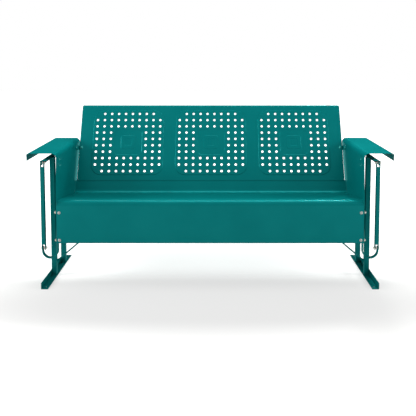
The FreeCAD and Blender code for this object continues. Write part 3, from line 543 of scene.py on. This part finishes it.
def makeBack():
    path = BentPath([(0, 0), (back["height"], 0), (back["height"], -back["flange"]),
                     (back["height"] - back["return"], -back["flange"])],
                    [0, back["roll"], back["returnBend"], 0])
    edge = back["half"] - back["hemNose"]
    corner, height = back["corner"] - back["hemNose"], back["height"]

    def halfAt(along):
        over = path.at(along)[0].x - (height - corner)
        return edge if over <= 0 else edge - corner + math.sqrt(max(corner ** 2 - over ** 2, 0))

    # One straight run up the side, then close rows over the roll and the return
    last = path.length
    marks = [0.0] + [last * step / 90 for step in range(76, 91)]
    right = [(halfAt(mark), mark) for mark in marks]
    right = [(min(wide, edge - corner) if mark > last - back["return"] else wide, mark) for wide, mark in right]
    outline = right + [(-wide, mark) for wide, mark in right[::-1]]
    places, count = holePlaces(), back["holeSides"]
    holes = [ringAt(place, back["lip"][0][0], count) for place in places]
    lines = [((-back["half"] - 5, place), (back["half"] + 5, place)) for place in path.creases()]
    for group in (-1, 0, 1):
        for wide, high, cornerSize, step, ramp in back["steps"]:
            for share in (0, 0.25, 0.5, 0.75, 1):
                inward = ramp * share
                lines.append(roundedBox(groupCentre(group), wide - inward, high - inward, cornerSize - inward, 12))
    blank = cutBlank(outline, holes, lines)

    def formed(across, along):
        point, left = path.at(along)
        rise = reliefAt(across, along) if along < back["height"] - back["roll"] else 0.0
        place = slopeSpot(across, point.x + left.x * rise, point.y + left.y * rise) / mm
        return place, slopeHeading(left.x, left.y)

    # Each hole's lip is drawn in towards the rear
    lips = Shape()
    for place in places:
        face = reliefAt(*place)
        lips.skin([[slopeSpot(across, along, face - depth) for across, along in ringAt(place, radius, count)]
                   for radius, depth in back["lip"]], capped=False)
    mesh = pressSheet("backPanel", blank, formed, bench["gauge"], 0.35, lips)
    dress("backPanel", mesh, [tealSheet], "seat", ["back_panel"], 50)
    # Side hems: the sheet folded over its own rear face
    hems = Shape()
    nose, high, inner = back["hemNose"], back["height"] - back["roll"], back["half"] - back["hem"]
    section = [(edge - 1, 0.0)] + arcPoints((edge, -nose), nose, 90, -90, 12)
    section += [(inner, -2 * nose), (inner, -nose - 0.1), (edge - 1, -nose - 0.1)]
    for side, name in sides:
        folds = [[slopeSpot(side * across, high * step / 12, ahead) for across, ahead in section]
                 for step in range(13)]
        hems.skin(folds if side < 0 else [fold[::-1] for fold in folds])
    dress("backHems", meshOf("backHems", hems), [tealSheet], "seat", ["back_panel"])


makeBack()
print("back pressed and pierced")

# Arms, each bent from the same sheet as its side panel
arm = {"outer": 955, "lip": 44, "innerBend": 26, "outerBend": 20, "frontCorner": 22, "rearCorner": 10,
       "frontSweep": 60, "kneeBack": 385, "foldCorner": 14}


def roundedLoop(points, radii, count=6):
    # A closed flat loop with its corners rounded
    points = [Vector(point) for point in points]
    loop = []
    for index, radius in enumerate(radii):
        vertex = points[index]
        before = (points[index - 1] - vertex).normalized()
        after = (points[(index + 1) % len(points)] - vertex).normalized()
        if not radius:
            loop.append(tuple(vertex))
            continue
        half = before.angle(after) / 2
        centre = vertex + (before + after).normalized() * (radius / sin(half))
        start = vertex + before * (radius / math.tan(half)) - centre
        end = vertex + after * (radius / math.tan(half)) - centre
        sweep = math.atan2(start.x * end.y - start.y * end.x, start.dot(end))
        for step in range(count + 1):
            turn = sweep * step / count
            loop.append((centre.x + start.x * cos(turn) - start.y * sin(turn),
                         centre.y + start.x * sin(turn) + start.y * cos(turn)))
    return loop


def sideways(path, side):
    # Lays a blank, measured backwards and along the path, on one side of the bench
    def formed(backwards, along):
        point, left = path.at(along)
        return Vector((side * point.x, backwards - middle, point.y)), Vector((side * left.x, 0, left.y))

    return formed


def makeArm(side, name):
    inner, outer, top, bottom = bench["sideInner"], arm["outer"], bench["armTop"], bench["sideBottom"]
    path = BentPath([(inner, bottom), (inner, top), (outer, top), (outer, top - arm["lip"])],
                    [0, arm["innerBend"], arm["outerBend"], 0])
    flatTop = top - arm["innerBend"] - bottom
    front, rear, total = bench["armFront"], bench["armRear"], path.length

    def trimmed(along, radius):
        over = path.at(along)[0].x - (outer - radius)
        return 0.0 if over <= 0 else radius - math.sqrt(max(radius ** 2 - over ** 2, 0))

    # Close rows over the outer bend and the lip
    marks = [total - (arm["lip"] + 24) * step / 28 for step in range(28, -1, -1)]
    corner = arm["foldCorner"]
    points = [(front, flatTop), (bench["sideFront"], bench["panFrontTop"] - bottom), (bench["sideFront"], 0),
              (bench["sideRear"], 0), (bench["sideRear"], bench["panRearTop"] - bottom),
              (arm["kneeBack"], bench["seamUp"] - bottom), (rear, flatTop)]
    outline = roundedLoop(points, [0, arm["frontSweep"], 0, corner, 2 * corner, 2 * corner, 0])
    outline += [(rear - trimmed(mark, arm["rearCorner"]), mark) for mark in marks]
    outline += [(front + trimmed(mark, arm["frontCorner"]), mark) for mark in marks[::-1]]
    lines = [((front - 40, place), (rear + 10, place)) for place in path.creases()]
    title = "armShell" + name.capitalize()
    mesh = pressSheet(title, cutBlank(outline, lines=lines), sideways(path, side), bench["gauge"])
    dress(title, mesh, [tealSheet], "seat", ["arm_shell_" + name])


for side, name in sides:
    makeArm(side, name)
print("arms bent")

# Links and hangers
link = {"width": 20, "depth": 22, "gauge": 2, "bend": 3.2, "webInset": 20, "hole": 4.1, "throat": (0.3, 6),
        "webCorner": 1.2}
hanger = {"width": 24, "gauge": 5, "bendDrop": 11.5, "boltLow": 220, "boltHigh": 367, "rearBoltHigh": 347,
          "hole": 4.1}


def makeLink(side, name, end, pivot, facing):
    # A pressed channel with rounded ears, its web turned away from the posts
    half, depth = link["width"] / 2, link["depth"]
    centre, low, high = bench["pivotSide"], bench["pivotLow"], bench["pivotTop"]
    path = BentPath([(-half, -depth / 2), (-half, depth / 2), (half, depth / 2), (half, -depth / 2)],
                    [0, link["bend"], link["bend"], 0])
    reach, far = depth / 2, path.length
    # One ear's half round, running in to the web, then mirrored for the other ear and turned over for the low end
    throat, drop = link["throat"]
    ear = arcPoints((reach, high), reach, 180, 0, 12)[:-1]
    ear += [(depth - throat, high - drop), (depth + link["webCorner"], high - link["webInset"])]
    top = ear + [(far - across, up) for across, up in ear[::-1]]
    loop = top + [(far - across, low + high - up) for across, up in top]
    holes = [ringAt((place, height), link["hole"], 24) for place in (reach, far - reach) for height in (low, high)]
    lines = [((place, low - 30), (place, high + 30)) for place in path.creases(12)]

    def formed(along, up):
        point, left = path.at(along)
        place = Vector((side * centre + point.x, pivot + facing * point.y - middle, up))
        return place, Vector((left.x, facing * left.y, 0))

    title = "link" + end.capitalize() + name.capitalize()
    mesh = pressSheet(title, cutBlank(loop, holes, lines), formed, link["gauge"], 0.4)
    dress(title, mesh, [tealFrame], f"{end}_{name}_link", [f"link_{end}_{name}"])


def makeHanger(side, name, end, pivot, boltHigh):
    # Flat bar from the side panel round to the lower pivot, its ends rounded
    inner, outer = bench["sideInner"] + bench["gauge"], bench["pivotSide"] + hanger["gauge"] / 2
    bend = (outer - inner) / 2
    bottom = bench["pivotLow"] - hanger["bendDrop"] - bend
    path = BentPath([(inner, boltHigh), (inner, bottom), (outer, bottom), (outer, bench["pivotLow"])],
                    [0, bend, bend, 0])
    half, total = hanger["width"] / 2, path.length
    ends = arcPoints((pivot, 0), half, 180, 360, 15)
    loop = ends + [(2 * pivot - place, total - along) for place, along in ends]
    places = (0.0, boltHigh - hanger["boltLow"], total)
    holes = [ringAt((pivot, place), hanger["hole"], 24) for place in places]
    lines = [((pivot - 20, place), (pivot + 20, place)) for place in path.creases()]

    def formed(backwards, along):
        inRange = min(max(along, 0.0), total)
        point, left = path.at(inRange)
        # Both ends run on upwards beyond the path
        up = point.y + abs(along - inRange)
        return Vector((side * point.x, backwards - middle, up)), -Vector((side * left.x, 0, left.y))

    title = "hanger" + end.capitalize() + name.capitalize()
    mesh = pressSheet(title, cutBlank(loop, holes, lines), formed, -hanger["gauge"], 0.6)
    dress(title, mesh, [tealFrame], "seat", [f"hanger_{end}_{name}"])


for side, name in sides:
    makeLink(side, name, "front", bench["pivotFront"], -1)
    makeLink(side, name, "rear", bench["pivotRear"], 1)
    makeHanger(side, name, "front", bench["pivotFront"], hanger["boltHigh"])
    makeHanger(side, name, "rear", bench["pivotRear"], hanger["rearBoltHigh"])
print("links and hangers made")

# Stationary frame
foot = {"inner": 821, "outer": 856, "height": 32, "gauge": 3, "front": -197, "rear": 326, "hole": 4.5,
        "holeInset": 30, "bend": 4.2}
rail = {"outer": 869.5, "width": 30.5, "top": 643.5, "height": 26, "gauge": 3, "reach": 22, "hole": 4.1,
        "bend": 4.2}
post = {"wall": 2, "corner": 3.6, "innerCorner": 2.0, "bottom": 3.0, "top": 640.4, "ringSpan": 634.4}
weld = {"atFoot": 1.7, "atRail": 1.6, "gap": 0.6, "ripple": 0.16, "steps": 22}


def makeAngle(title, node, side, section, bend, ends, gauge, holes):
    # Rolled angle section: rounded toes, a soft heel and its holes
    path = BentPath(section, [0, bend, 0])
    front, rear = ends
    outline = [(front, 0), (rear, 0), (rear, path.length), (front, path.length)]
    lines = [((front - 5, place), (rear + 5, place)) for place in path.creases(9)]
    blank = cutBlank(outline, [ringAt(place, radius, 28) for place, radius in holes], lines)
    mesh = pressSheet(title, blank, sideways(path, side), gauge, 0.8)
    dress(title, mesh, [tealFrame], "base", [node])


def makePost(title, node, side, front):
    # Square tube with rounded edges
    shape = Shape()
    half, inner = bench["postWidth"] / 2, bench["postWidth"] / 2 - post["wall"]
    centre = (side * (bench["postInner"] + half), front + half)
    heights = [post["bottom"] + post["ringSpan"] * step / 16 for step in range(16)] + [post["top"]]
    for loop, levels in ((roundedBox(centre, half, half, post["corner"], 6), heights),
                         (roundedBox(centre, inner, inner, post["innerCorner"], 6), heights[::-1])):
        shape.skin([[spot(*point, height) for point in loop] for height in levels], capped=False)
    dress(title, meshOf(title, shape), [tealFrame], "base", [node])


def sweep(shape, places, sizes, count):
    # A bar along a line of places, with its half width and half height at each
    rings = []
    for index, (place, (wide, tall)) in enumerate(zip(places, sizes)):
        heading = places[min(index + 1, len(places) - 1)] - places[max(index - 1, 0)]
        across = heading.cross(Vector((0, 0, 1))).normalized()
        upward = across.cross(heading.normalized())
        rings.append([place + (across * wide * cos(turn) + upward * tall * sin(turn)) * mm
                      for turn in around(count)])
    shape.skin(rings)


def makeWelds():
    # Rippled beads on three sides of each post, on the foot and under the rail
    shape, steps = Shape(), weld["steps"]
    inner, outer = bench["postInner"], bench["postInner"] + bench["postWidth"] - 1
    waves = [1 + weld["ripple"] * (sin(step * 1.9) + 0.5 * sin(step * 0.7)) for step in range(steps + 1)]
    seats = ((foot["gauge"] + weld["gap"], weld["atFoot"]),
             (rail["top"] - rail["gauge"] - weld["gap"], weld["atRail"]))
    for side, name in sides:
        for near in (0, bench["postSpacing"]):
            far = near + bench["postWidth"]
            runs = (((inner, near), (outer, near)), ((inner, near), (inner, far)), ((inner, far), (outer, far)))
            for height, radius in seats:
                for run in runs:
                    start, end = (spot(side * across, deep, height) for across, deep in run)
                    line = [start.lerp(end, step / steps) for step in range(steps + 1)]
                    sweep(shape, line, [(radius * wave, radius * wave) for wave in waves], 8)
    dress("frameWelds", meshOf("frameWelds", shape), [tealFrame], "base", ["front_post_left"], 60)


# Holes are placed along the section from its inner toe: in the foot's flat and in the rail's upright
footLine = [(foot["inner"], 0), (foot["outer"], 0), (foot["outer"], foot["height"])]
footAlong = (foot["outer"] - foot["gauge"] - foot["inner"]) / 2
footEnds = (foot["front"], foot["rear"])
footHoles = [((place, footAlong), foot["hole"])
             for place in (foot["front"] + foot["holeInset"], foot["rear"] - foot["holeInset"])]
railLine = [(rail["outer"] - rail["width"], rail["top"]), (rail["outer"], rail["top"]),
            (rail["outer"], rail["top"] - rail["height"])]
railAlong = rail["width"] + rail["top"] - bench["pivotTop"] - rail["bend"] * (2 - pi / 2)
railEnds = (bench["pivotFront"] - rail["reach"], bench["pivotRear"] + rail["reach"])
railHoles = [((place, railAlong), rail["hole"]) for place in (bench["pivotFront"], bench["pivotRear"])]
for side, name in sides:
    ending = name.capitalize()
    makeAngle("foot" + ending, "foot_" + name, side, footLine, foot["bend"], footEnds, -foot["gauge"], footHoles)
    makeAngle("topRail" + ending, "top_rail_" + name, side, railLine, rail["bend"], railEnds, rail["gauge"],
              railHoles)
    makePost("frontPost" + ending, "front_post_" + name, side, 0)
    makePost("rearPost" + ending, "rear_post_" + name, side, bench["postSpacing"])
makeWelds()
print("feet, posts and rails made")

# Tie rod under the seat
tie = {"radius": 4, "top": 240, "eyeUp": 62, "eyeSide": 839.5, "angle": 40.5, "bend": 30, "eyeRadius": 11,
       "eyeGauge": 5, "bore": 4.3, "eyeFront": 27, "plane": 31.5, "flatStart": 8, "flatLength": 34,
       "flat": (2.5, 9.5), "marks": (0, 4, 8, 12, 16, 20, 24, 28, 32, 36, 42, 60, 90, 130)}


def makeTieRod():
    # Round rod whose ends are flattened and carry eyes
    knee = tie["eyeSide"] - (tie["top"] - tie["eyeUp"]) / math.tan(radians(tie["angle"]))
    path = BentPath([(-tie["eyeSide"], tie["eyeUp"]), (-knee, tie["top"]), (knee, tie["top"]),
                     (tie["eyeSide"], tie["eyeUp"])], [0, tie["bend"], tie["bend"], 0])
    half = path.length / 2
    creases = [place for place in path.creases(8) if tie["marks"][-1] < place < half]
    marks = sorted([*tie["marks"], *creases, half - 300, half - 100])
    marks += [path.length - mark for mark in marks[::-1]]
    depth = tie["eyeFront"] + tie["eyeGauge"] / 2
    places, sizes = [], []
    for mark in marks:
        fromEnd = min(mark, path.length - mark) - tie["flatStart"]
        share = min(max(fromEnd / (tie["flatLength"] - tie["flatStart"]), 0), 1)
        ease = share * share * (3 - 2 * share)
        point = path.at(mark)[0]
        places.append(spot(point.x, depth + (tie["plane"] - depth) * ease, point.y))
        sizes.append([flat + (tie["radius"] - flat) * ease for flat in tie["flat"]])
    shape = Shape()
    sweep(shape, places, sizes, 20)
    for side in (-1, 1):
        layers = []
        for radius, behind in ((tie["bore"], 0), (tie["eyeRadius"], 0), (tie["eyeRadius"], tie["eyeGauge"]),
                               (tie["bore"], tie["eyeGauge"]), (tie["bore"], 0)):
            ring = ringAt((side * tie["eyeSide"], tie["eyeUp"]), radius, 32)
            layers.append([spot(across, tie["eyeFront"] + behind, up) for across, up in ring])
        shape.skin(layers, capped=False)
    dress("tieRod", meshOf("tieRod", shape, 0.6, 60), [tealFrame], "base", ["tie_rod"], 45)


makeTieRod()
print("tie rod bent")

# Bolts, nuts, washers and spacers. A profile is a row of radii and heights
bolt = {
    "radius": 4, "washerGauge": 1.2, "nut": 7.5, "nutHeight": 6.5, "nutFace": 0.97, "chamferFrom": 1.02,
    "chamfer": 0.62, "pitch": 1.25, "threadDepth": 0.42, "threadRadius": 3.9, "threadLength": 3.4, "point": 0.5,
    "dome": ((0.01, -4), (2.2, -3.88), (4.0, -3.45), (5.6, -2.65), (6.9, -1.5), (7.6, -0.7), (8.0, -0.45),
             (8.0, 0), (4.0, 0)),
    "cap": ((0.01, -4), (2.4, -3.85), (4.4, -3.35), (6.0, -2.5), (7.0, -1.5), (7.7, -0.7), (8.0, -0.3),
            (8.0, 0), (4.0, 0)),
    "washer": ((4.0, 0), (8.1, 0), (8.4, 0.3), (8.4, 0.9), (8.1, 1.2), (4.0, 1.2)),
    "apronSide": 781, "apronHeights": (("Low", 224.6), ("High", 369.5)), "armAlong": 184.3, "armAhead": 58.7,
}
spacer = {"bore": 4.3, "face": 7.6, "radius": 8.0, "edge": 0.5, "play": 0.2}


def polar(radius, turn, height):
    return Vector((radius * cos(turn), radius * sin(turn), height)) * mm


def turned(shape, profile, where, slot=0, count=28):
    # A part turned on a lathe, its axis along Z
    shape.skin([[polar(radius, turn, height) for turn in around(count)] for radius, height in profile], slot, where)


def hexNut(shape, where, bottom, top, count=48):
    # Six flats with both ends chamfered by a cone
    flat = bolt["nut"] * cos(pi / 6)
    turns = around(count)
    reaches = [flat / cos(turn % (pi / 3) - pi / 6) for turn in turns]
    rings = []
    for level, inward in ((bottom, 0), (bottom, 1), (top, -1), (top, 0)):
        ring = []
        for turn, reach in zip(turns, reaches):
            over = max(reach - flat * bolt["chamferFrom"], 0) * bolt["chamfer"]
            ring.append(polar(reach if inward else flat * bolt["nutFace"], turn, level + inward * over))
        rings.append(ring)
    shape.skin(rings, 0, where)


def threadEnd(shape, where, start, count=16):
    # The bolt's end with its thread as a true helix, tapered over the last rings
    steps = max(6, int(bolt["threadLength"] / bolt["pitch"] * 4))
    rings = []
    for level in range(steps + 1):
        height = start + bolt["threadLength"] * level / steps
        core = bolt["threadRadius"] - (1 - min(1.0, (steps - level) / 3)) * bolt["point"]
        ring = []
        for step in range(count):
            phase = (height / bolt["pitch"] - step / count) % 1.0
            ring.append(polar(core - bolt["threadDepth"] * abs(2 * phase - 1), tau * step / count, height))
        rings.append(ring)
    shape.skin(rings, 0, where)


def boltWhere(place, heading):
    return Matrix.Translation(place) @ Vector((0, 0, 1)).rotation_difference(heading).to_matrix().to_4x4()


def carriageBolt(title, body, node, place, heading, grip, headFinish=None):
    # Domed head, in a finish of its own where one is given, shank, washer, nut and thread end
    shape, where = Shape(), boltWhere(place, heading)
    radius, nutTop = bolt["radius"], grip + bolt["nutHeight"]
    turned(shape, bolt["dome"], where, 1 if headFinish else 0)
    turned(shape, [(radius, -0.2), (radius, grip + 0.5)], where, 0, 20)
    turned(shape, [(reach, grip + up) for reach, up in bolt["washer"]], where)
    hexNut(shape, where, grip + bolt["washerGauge"], nutTop)
    threadEnd(shape, where, nutTop - 0.5)
    finishes = [zincPlate, headFinish] if headFinish else [zincPlate]
    dress(title, meshOf(title, shape), finishes, body, [node], 32)


def makePivotSet(title, body, node, spacerNode, height, plate):
    # Bolts with domed caps outside and nuts inside, and a nylon spacer on each side of the plate
    radius, half = bolt["radius"], link["width"] / 2 + spacer["play"]
    inner = link["width"] / 2 - link["gauge"] - spacer["play"]
    for side, name in sides:
        for end, pivot in (("Front", bench["pivotFront"]), ("Rear", bench["pivotRear"])):
            ending = end + name.capitalize()
            centre = spot(side * bench["pivotSide"], pivot, height)
            shape, where = Shape(), boltWhere(centre, Vector((-side, 0, 0)))
            turned(shape, [(reach, up - half) for reach, up in bolt["cap"]], where)
            turned(shape, [(radius, -half - 0.2), (radius, half + 0.5)], where, 0, 24)
            hexNut(shape, where, half + 0.05, half + bolt["nutHeight"])
            dress(title + ending, meshOf(title, shape), [zincPlate], body, [node], 32)
            spacers = Shape()
            for way in (-1, 1):
                start, stop, edge = way * plate / 2, way * inner, way * spacer["edge"]
                profile = [(spacer["bore"], start), (spacer["face"], start), (spacer["radius"], start + edge),
                           (spacer["radius"], stop - edge), (spacer["face"], stop), (spacer["bore"], stop),
                           (spacer["bore"], start)]
                turned(spacers, profile, boltWhere(centre, Vector((1, 0, 0))))
            dress(title + "Spacers" + ending, meshOf("spacers", spacers), [nylonWhite], body, [spacerNode], 40)


makePivotSet("upperPivot", "base", "upper_pivot_bolts", "upper_spacers", bench["pivotTop"], rail["gauge"])
makePivotSet("lowerPivot", "seat", "lower_pivot_bolts", "lower_spacers", bench["pivotLow"], hanger["gauge"])
for side, name in sides:
    outward, ending = Vector((side, 0, 0)), name.capitalize()
    gauge, bracket = bench["gauge"], bench["bracketGauge"]
    for label, pivot, height, packing in (
            ("FrontLow", bench["pivotFront"], hanger["boltLow"], bracket),
            ("FrontHigh", bench["pivotFront"], hanger["boltHigh"], bracket),
            ("RearLow", bench["pivotRear"], hanger["boltLow"], 0),
            ("RearHigh", bench["pivotRear"], hanger["rearBoltHigh"], gauge + 0.3)):
        place = spot(side * (bench["sideInner"] - packing), pivot, height)
        carriageBolt("hangerBolt" + label + ending, "seat", "hanger_bolts", place, outward,
                     packing + gauge + hanger["gauge"])
    for label, height in bolt["apronHeights"]:
        place = spot(side * bolt["apronSide"], bench["sideFront"], height)
        carriageBolt("apronBolt" + label + ending, "seat", "apron_bolts", place, Vector((0, 1, 0)),
                     gauge + bracket, headEnamel)
    place = slopeSpot(side * (bench["sideInner"] - bracket), bolt["armAlong"], bolt["armAhead"])
    carriageBolt("armBolt" + ending, "seat", "bracket_bolts", place, outward, bracket + gauge, highlitTealHead)
    place = slopeSpot(side * back["fixingSide"], back["fixingAlong"], 0)
    carriageBolt("backBolt" + ending, "seat", "bracket_bolts", place, slopeHeading(0, -1).normalized(),
                 2 * gauge + bracket, highlitTealHead)
    place = spot(side * tie["eyeSide"], tie["eyeFront"] + tie["eyeGauge"], tie["eyeUp"])
    carriageBolt("tieBolt" + ending, "base", "tie_bolts", place, Vector((0, -1, 0)), tie["eyeGauge"] + post["wall"])

# Rivets near each side panel's front edge, their tails flattened outside
rivet = {"back": -14, "heights": (633, 600),
         "profile": ((0.01, -2), (2.07, -1.8), (3.68, -1.1), (4.6, 0), (2.2, 0.1), (2.2, 2), (3.8, 2), (3.42, 2.8),
                     (0.01, 3.1))}
for side, name in sides:
    rivets = Shape()
    for height in rivet["heights"]:
        place = spot(side * bench["sideInner"], rivet["back"], height)
        turned(rivets, rivet["profile"], boltWhere(place, Vector((side, 0, 0))))
    mesh = meshOf("sideRivets", rivets)
    dress("sideRivets" + name.capitalize(), mesh, [highlitTealHead], "seat", ["arm_shell_" + name], 40)
print("bolts and spacers turned")

# What stays from the frame: corner angles and back brackets, with softened edges
for nodeName in ("corner_angle_left", "corner_angle_right", "back_bracket_left", "back_bracket_right"):
    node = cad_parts[nodeName]
    node.data.materials.clear()
    node.data.materials.append(tealSheet)
    softened = node.modifiers.new("softEdges", "BEVEL")
    softened.width, softened.segments, softened.limit_method = 0.5 * mm, 2, "ANGLE"
    softened.angle_limit = radians(40)

# Studio: pale floor, even light
studio = {
    "half": 14, "drop": 0.0005, "floor": colour(0.62, 0.62, 0.61), "patches": colour(0.58, 0.58, 0.57),
    "glow": 0.80, "nearGlow": 0.25, "underSeatPaintedLight": 0.42, "shadowBandGlow": 0.76, "shadowBandFloor": colour(0.15, 0.15, 0.148),
    "world": 1.0, "front": 0.70, "rearShade": 0.93,
}


def makeFloor():
    floor, half = bpy.data.meshes.new("floor"), studio["half"]
    corners = ((-half, -half), (half, -half), (half, half), (-half, half))
    floor.from_pydata([(*corner, -studio["drop"]) for corner in corners], [], [(0, 1, 2, 3)])
    ground = addObject("floor", floor)
    # The paper glows more away from the bench, so it runs into the white around it. Under the seat it glows more as
    # well: painted light that lifts the seat's shadow there
    paper = Finish("paleFloor")
    away = paper.stepped(paper.distance(paper.place()), 1.3, 3.6, studio["nearGlow"], 1.0)
    paintedLightUnderSeat = paper.stepped(paper.part(paper.place(), 1), -0.32, -0.14) * studio["underSeatPaintedLight"]
    # A painted shadow: a soft grey stripe on the paper just before the bench, darker paper that glows evenly
    squeezed = paper.place() * (0.3, 1.0, 1.0) + (0, 0.55, 0)
    paintedShadowBand = paper.stepped(paper.distance(squeezed), 0.20, 0.54, 1.0, 0.0)
    tone = paper.blend(paper.noise(2.0, 2.0) * 0.05, studio["floor"], studio["patches"])
    floor.materials.append(paper.shade({
        "Base Color": paper.blend(paintedShadowBand, tone, studio["shadowBandFloor"]), "Roughness": 0.9, "Specular IOR Level": 0.05,
        "Emission Color": (away + paintedLightUnderSeat) * (1.0 - paintedShadowBand) + paintedShadowBand * studio["shadowBandGlow"],
        "Emission Strength": studio["glow"]}))


def makeWalls():
    # White all round to the eye, but the wall behind the bench gives little light of its own
    walls = Finish("studio", bpy.data.worlds)
    bpy.context.scene.world = walls.material
    heading = walls.node("TexCoord", out=0)
    behind = walls.stepped(walls.part(heading, 1), -0.1, 0.5)
    shaded = behind * walls.stepped(walls.part(heading, 2), 0.35, 0.85, 1.0, 0.0) * studio["rearShade"]
    seen = walls.node("LightPath", out=0)
    strength = (1.0 - shaded) * studio["front"] * (1.0 - seen) + seen * studio["world"]
    light = walls.node("Background", None, {"Color": colour(1, 1, 1), "Strength": strength})
    walls.node("OutputWorld", None, {"Surface": light})


makeFloor()
makeWalls()
# Soft lights: place, target, width, height and watts
lights = {
    "key": ((1.4, 3.1, 3.3), (0, 0, 0.3), 0.5, 0.4, 80),
    "behind": ((-0.3, 3.0, 3.0), (0, 0, 0.2), 3.0, 0.6, 60),
    "overhead": ((0.2, 0.25, 3.3), (0.2, -0.1, 0.4), 2.6, 0.8, 38),
    "leftFill": ((-3.3, -0.5, 1.8), (0.6, 0, 0.5), 1.2, 1.2, 100),
    "rightFill": ((3.3, -0.5, 1.8), (-0.6, 0, 0.5), 1.2, 1.2, 62),
}
for title, (place, target, width, height, power) in lights.items():
    data = bpy.data.lights.new(title, "AREA")
    data.shape, data.size, data.size_y, data.energy = "RECTANGLE", width, height, power
    light = addObject(title, data)
    light.location = place
    light.rotation_euler = (Vector(target) - Vector(place)).to_track_quat("-Z", "Y").to_euler()

# The photograph's view
camera = bpy.data.cameras.new("camera")
camera.lens, camera.sensor_width = 53.963, 36
camera.shift_x, camera.shift_y = -0.0171, -0.26
eye = addObject("camera", camera)
eye.location = (0.0253, -3.2646 - middle * mm, 1.2146)
eye.rotation_euler = (radians(90) - 0.0819, 0, 0)
bpy.context.scene.camera = eye
bpy.context.scene.view_settings.view_transform = "Standard"
print("studio lit")
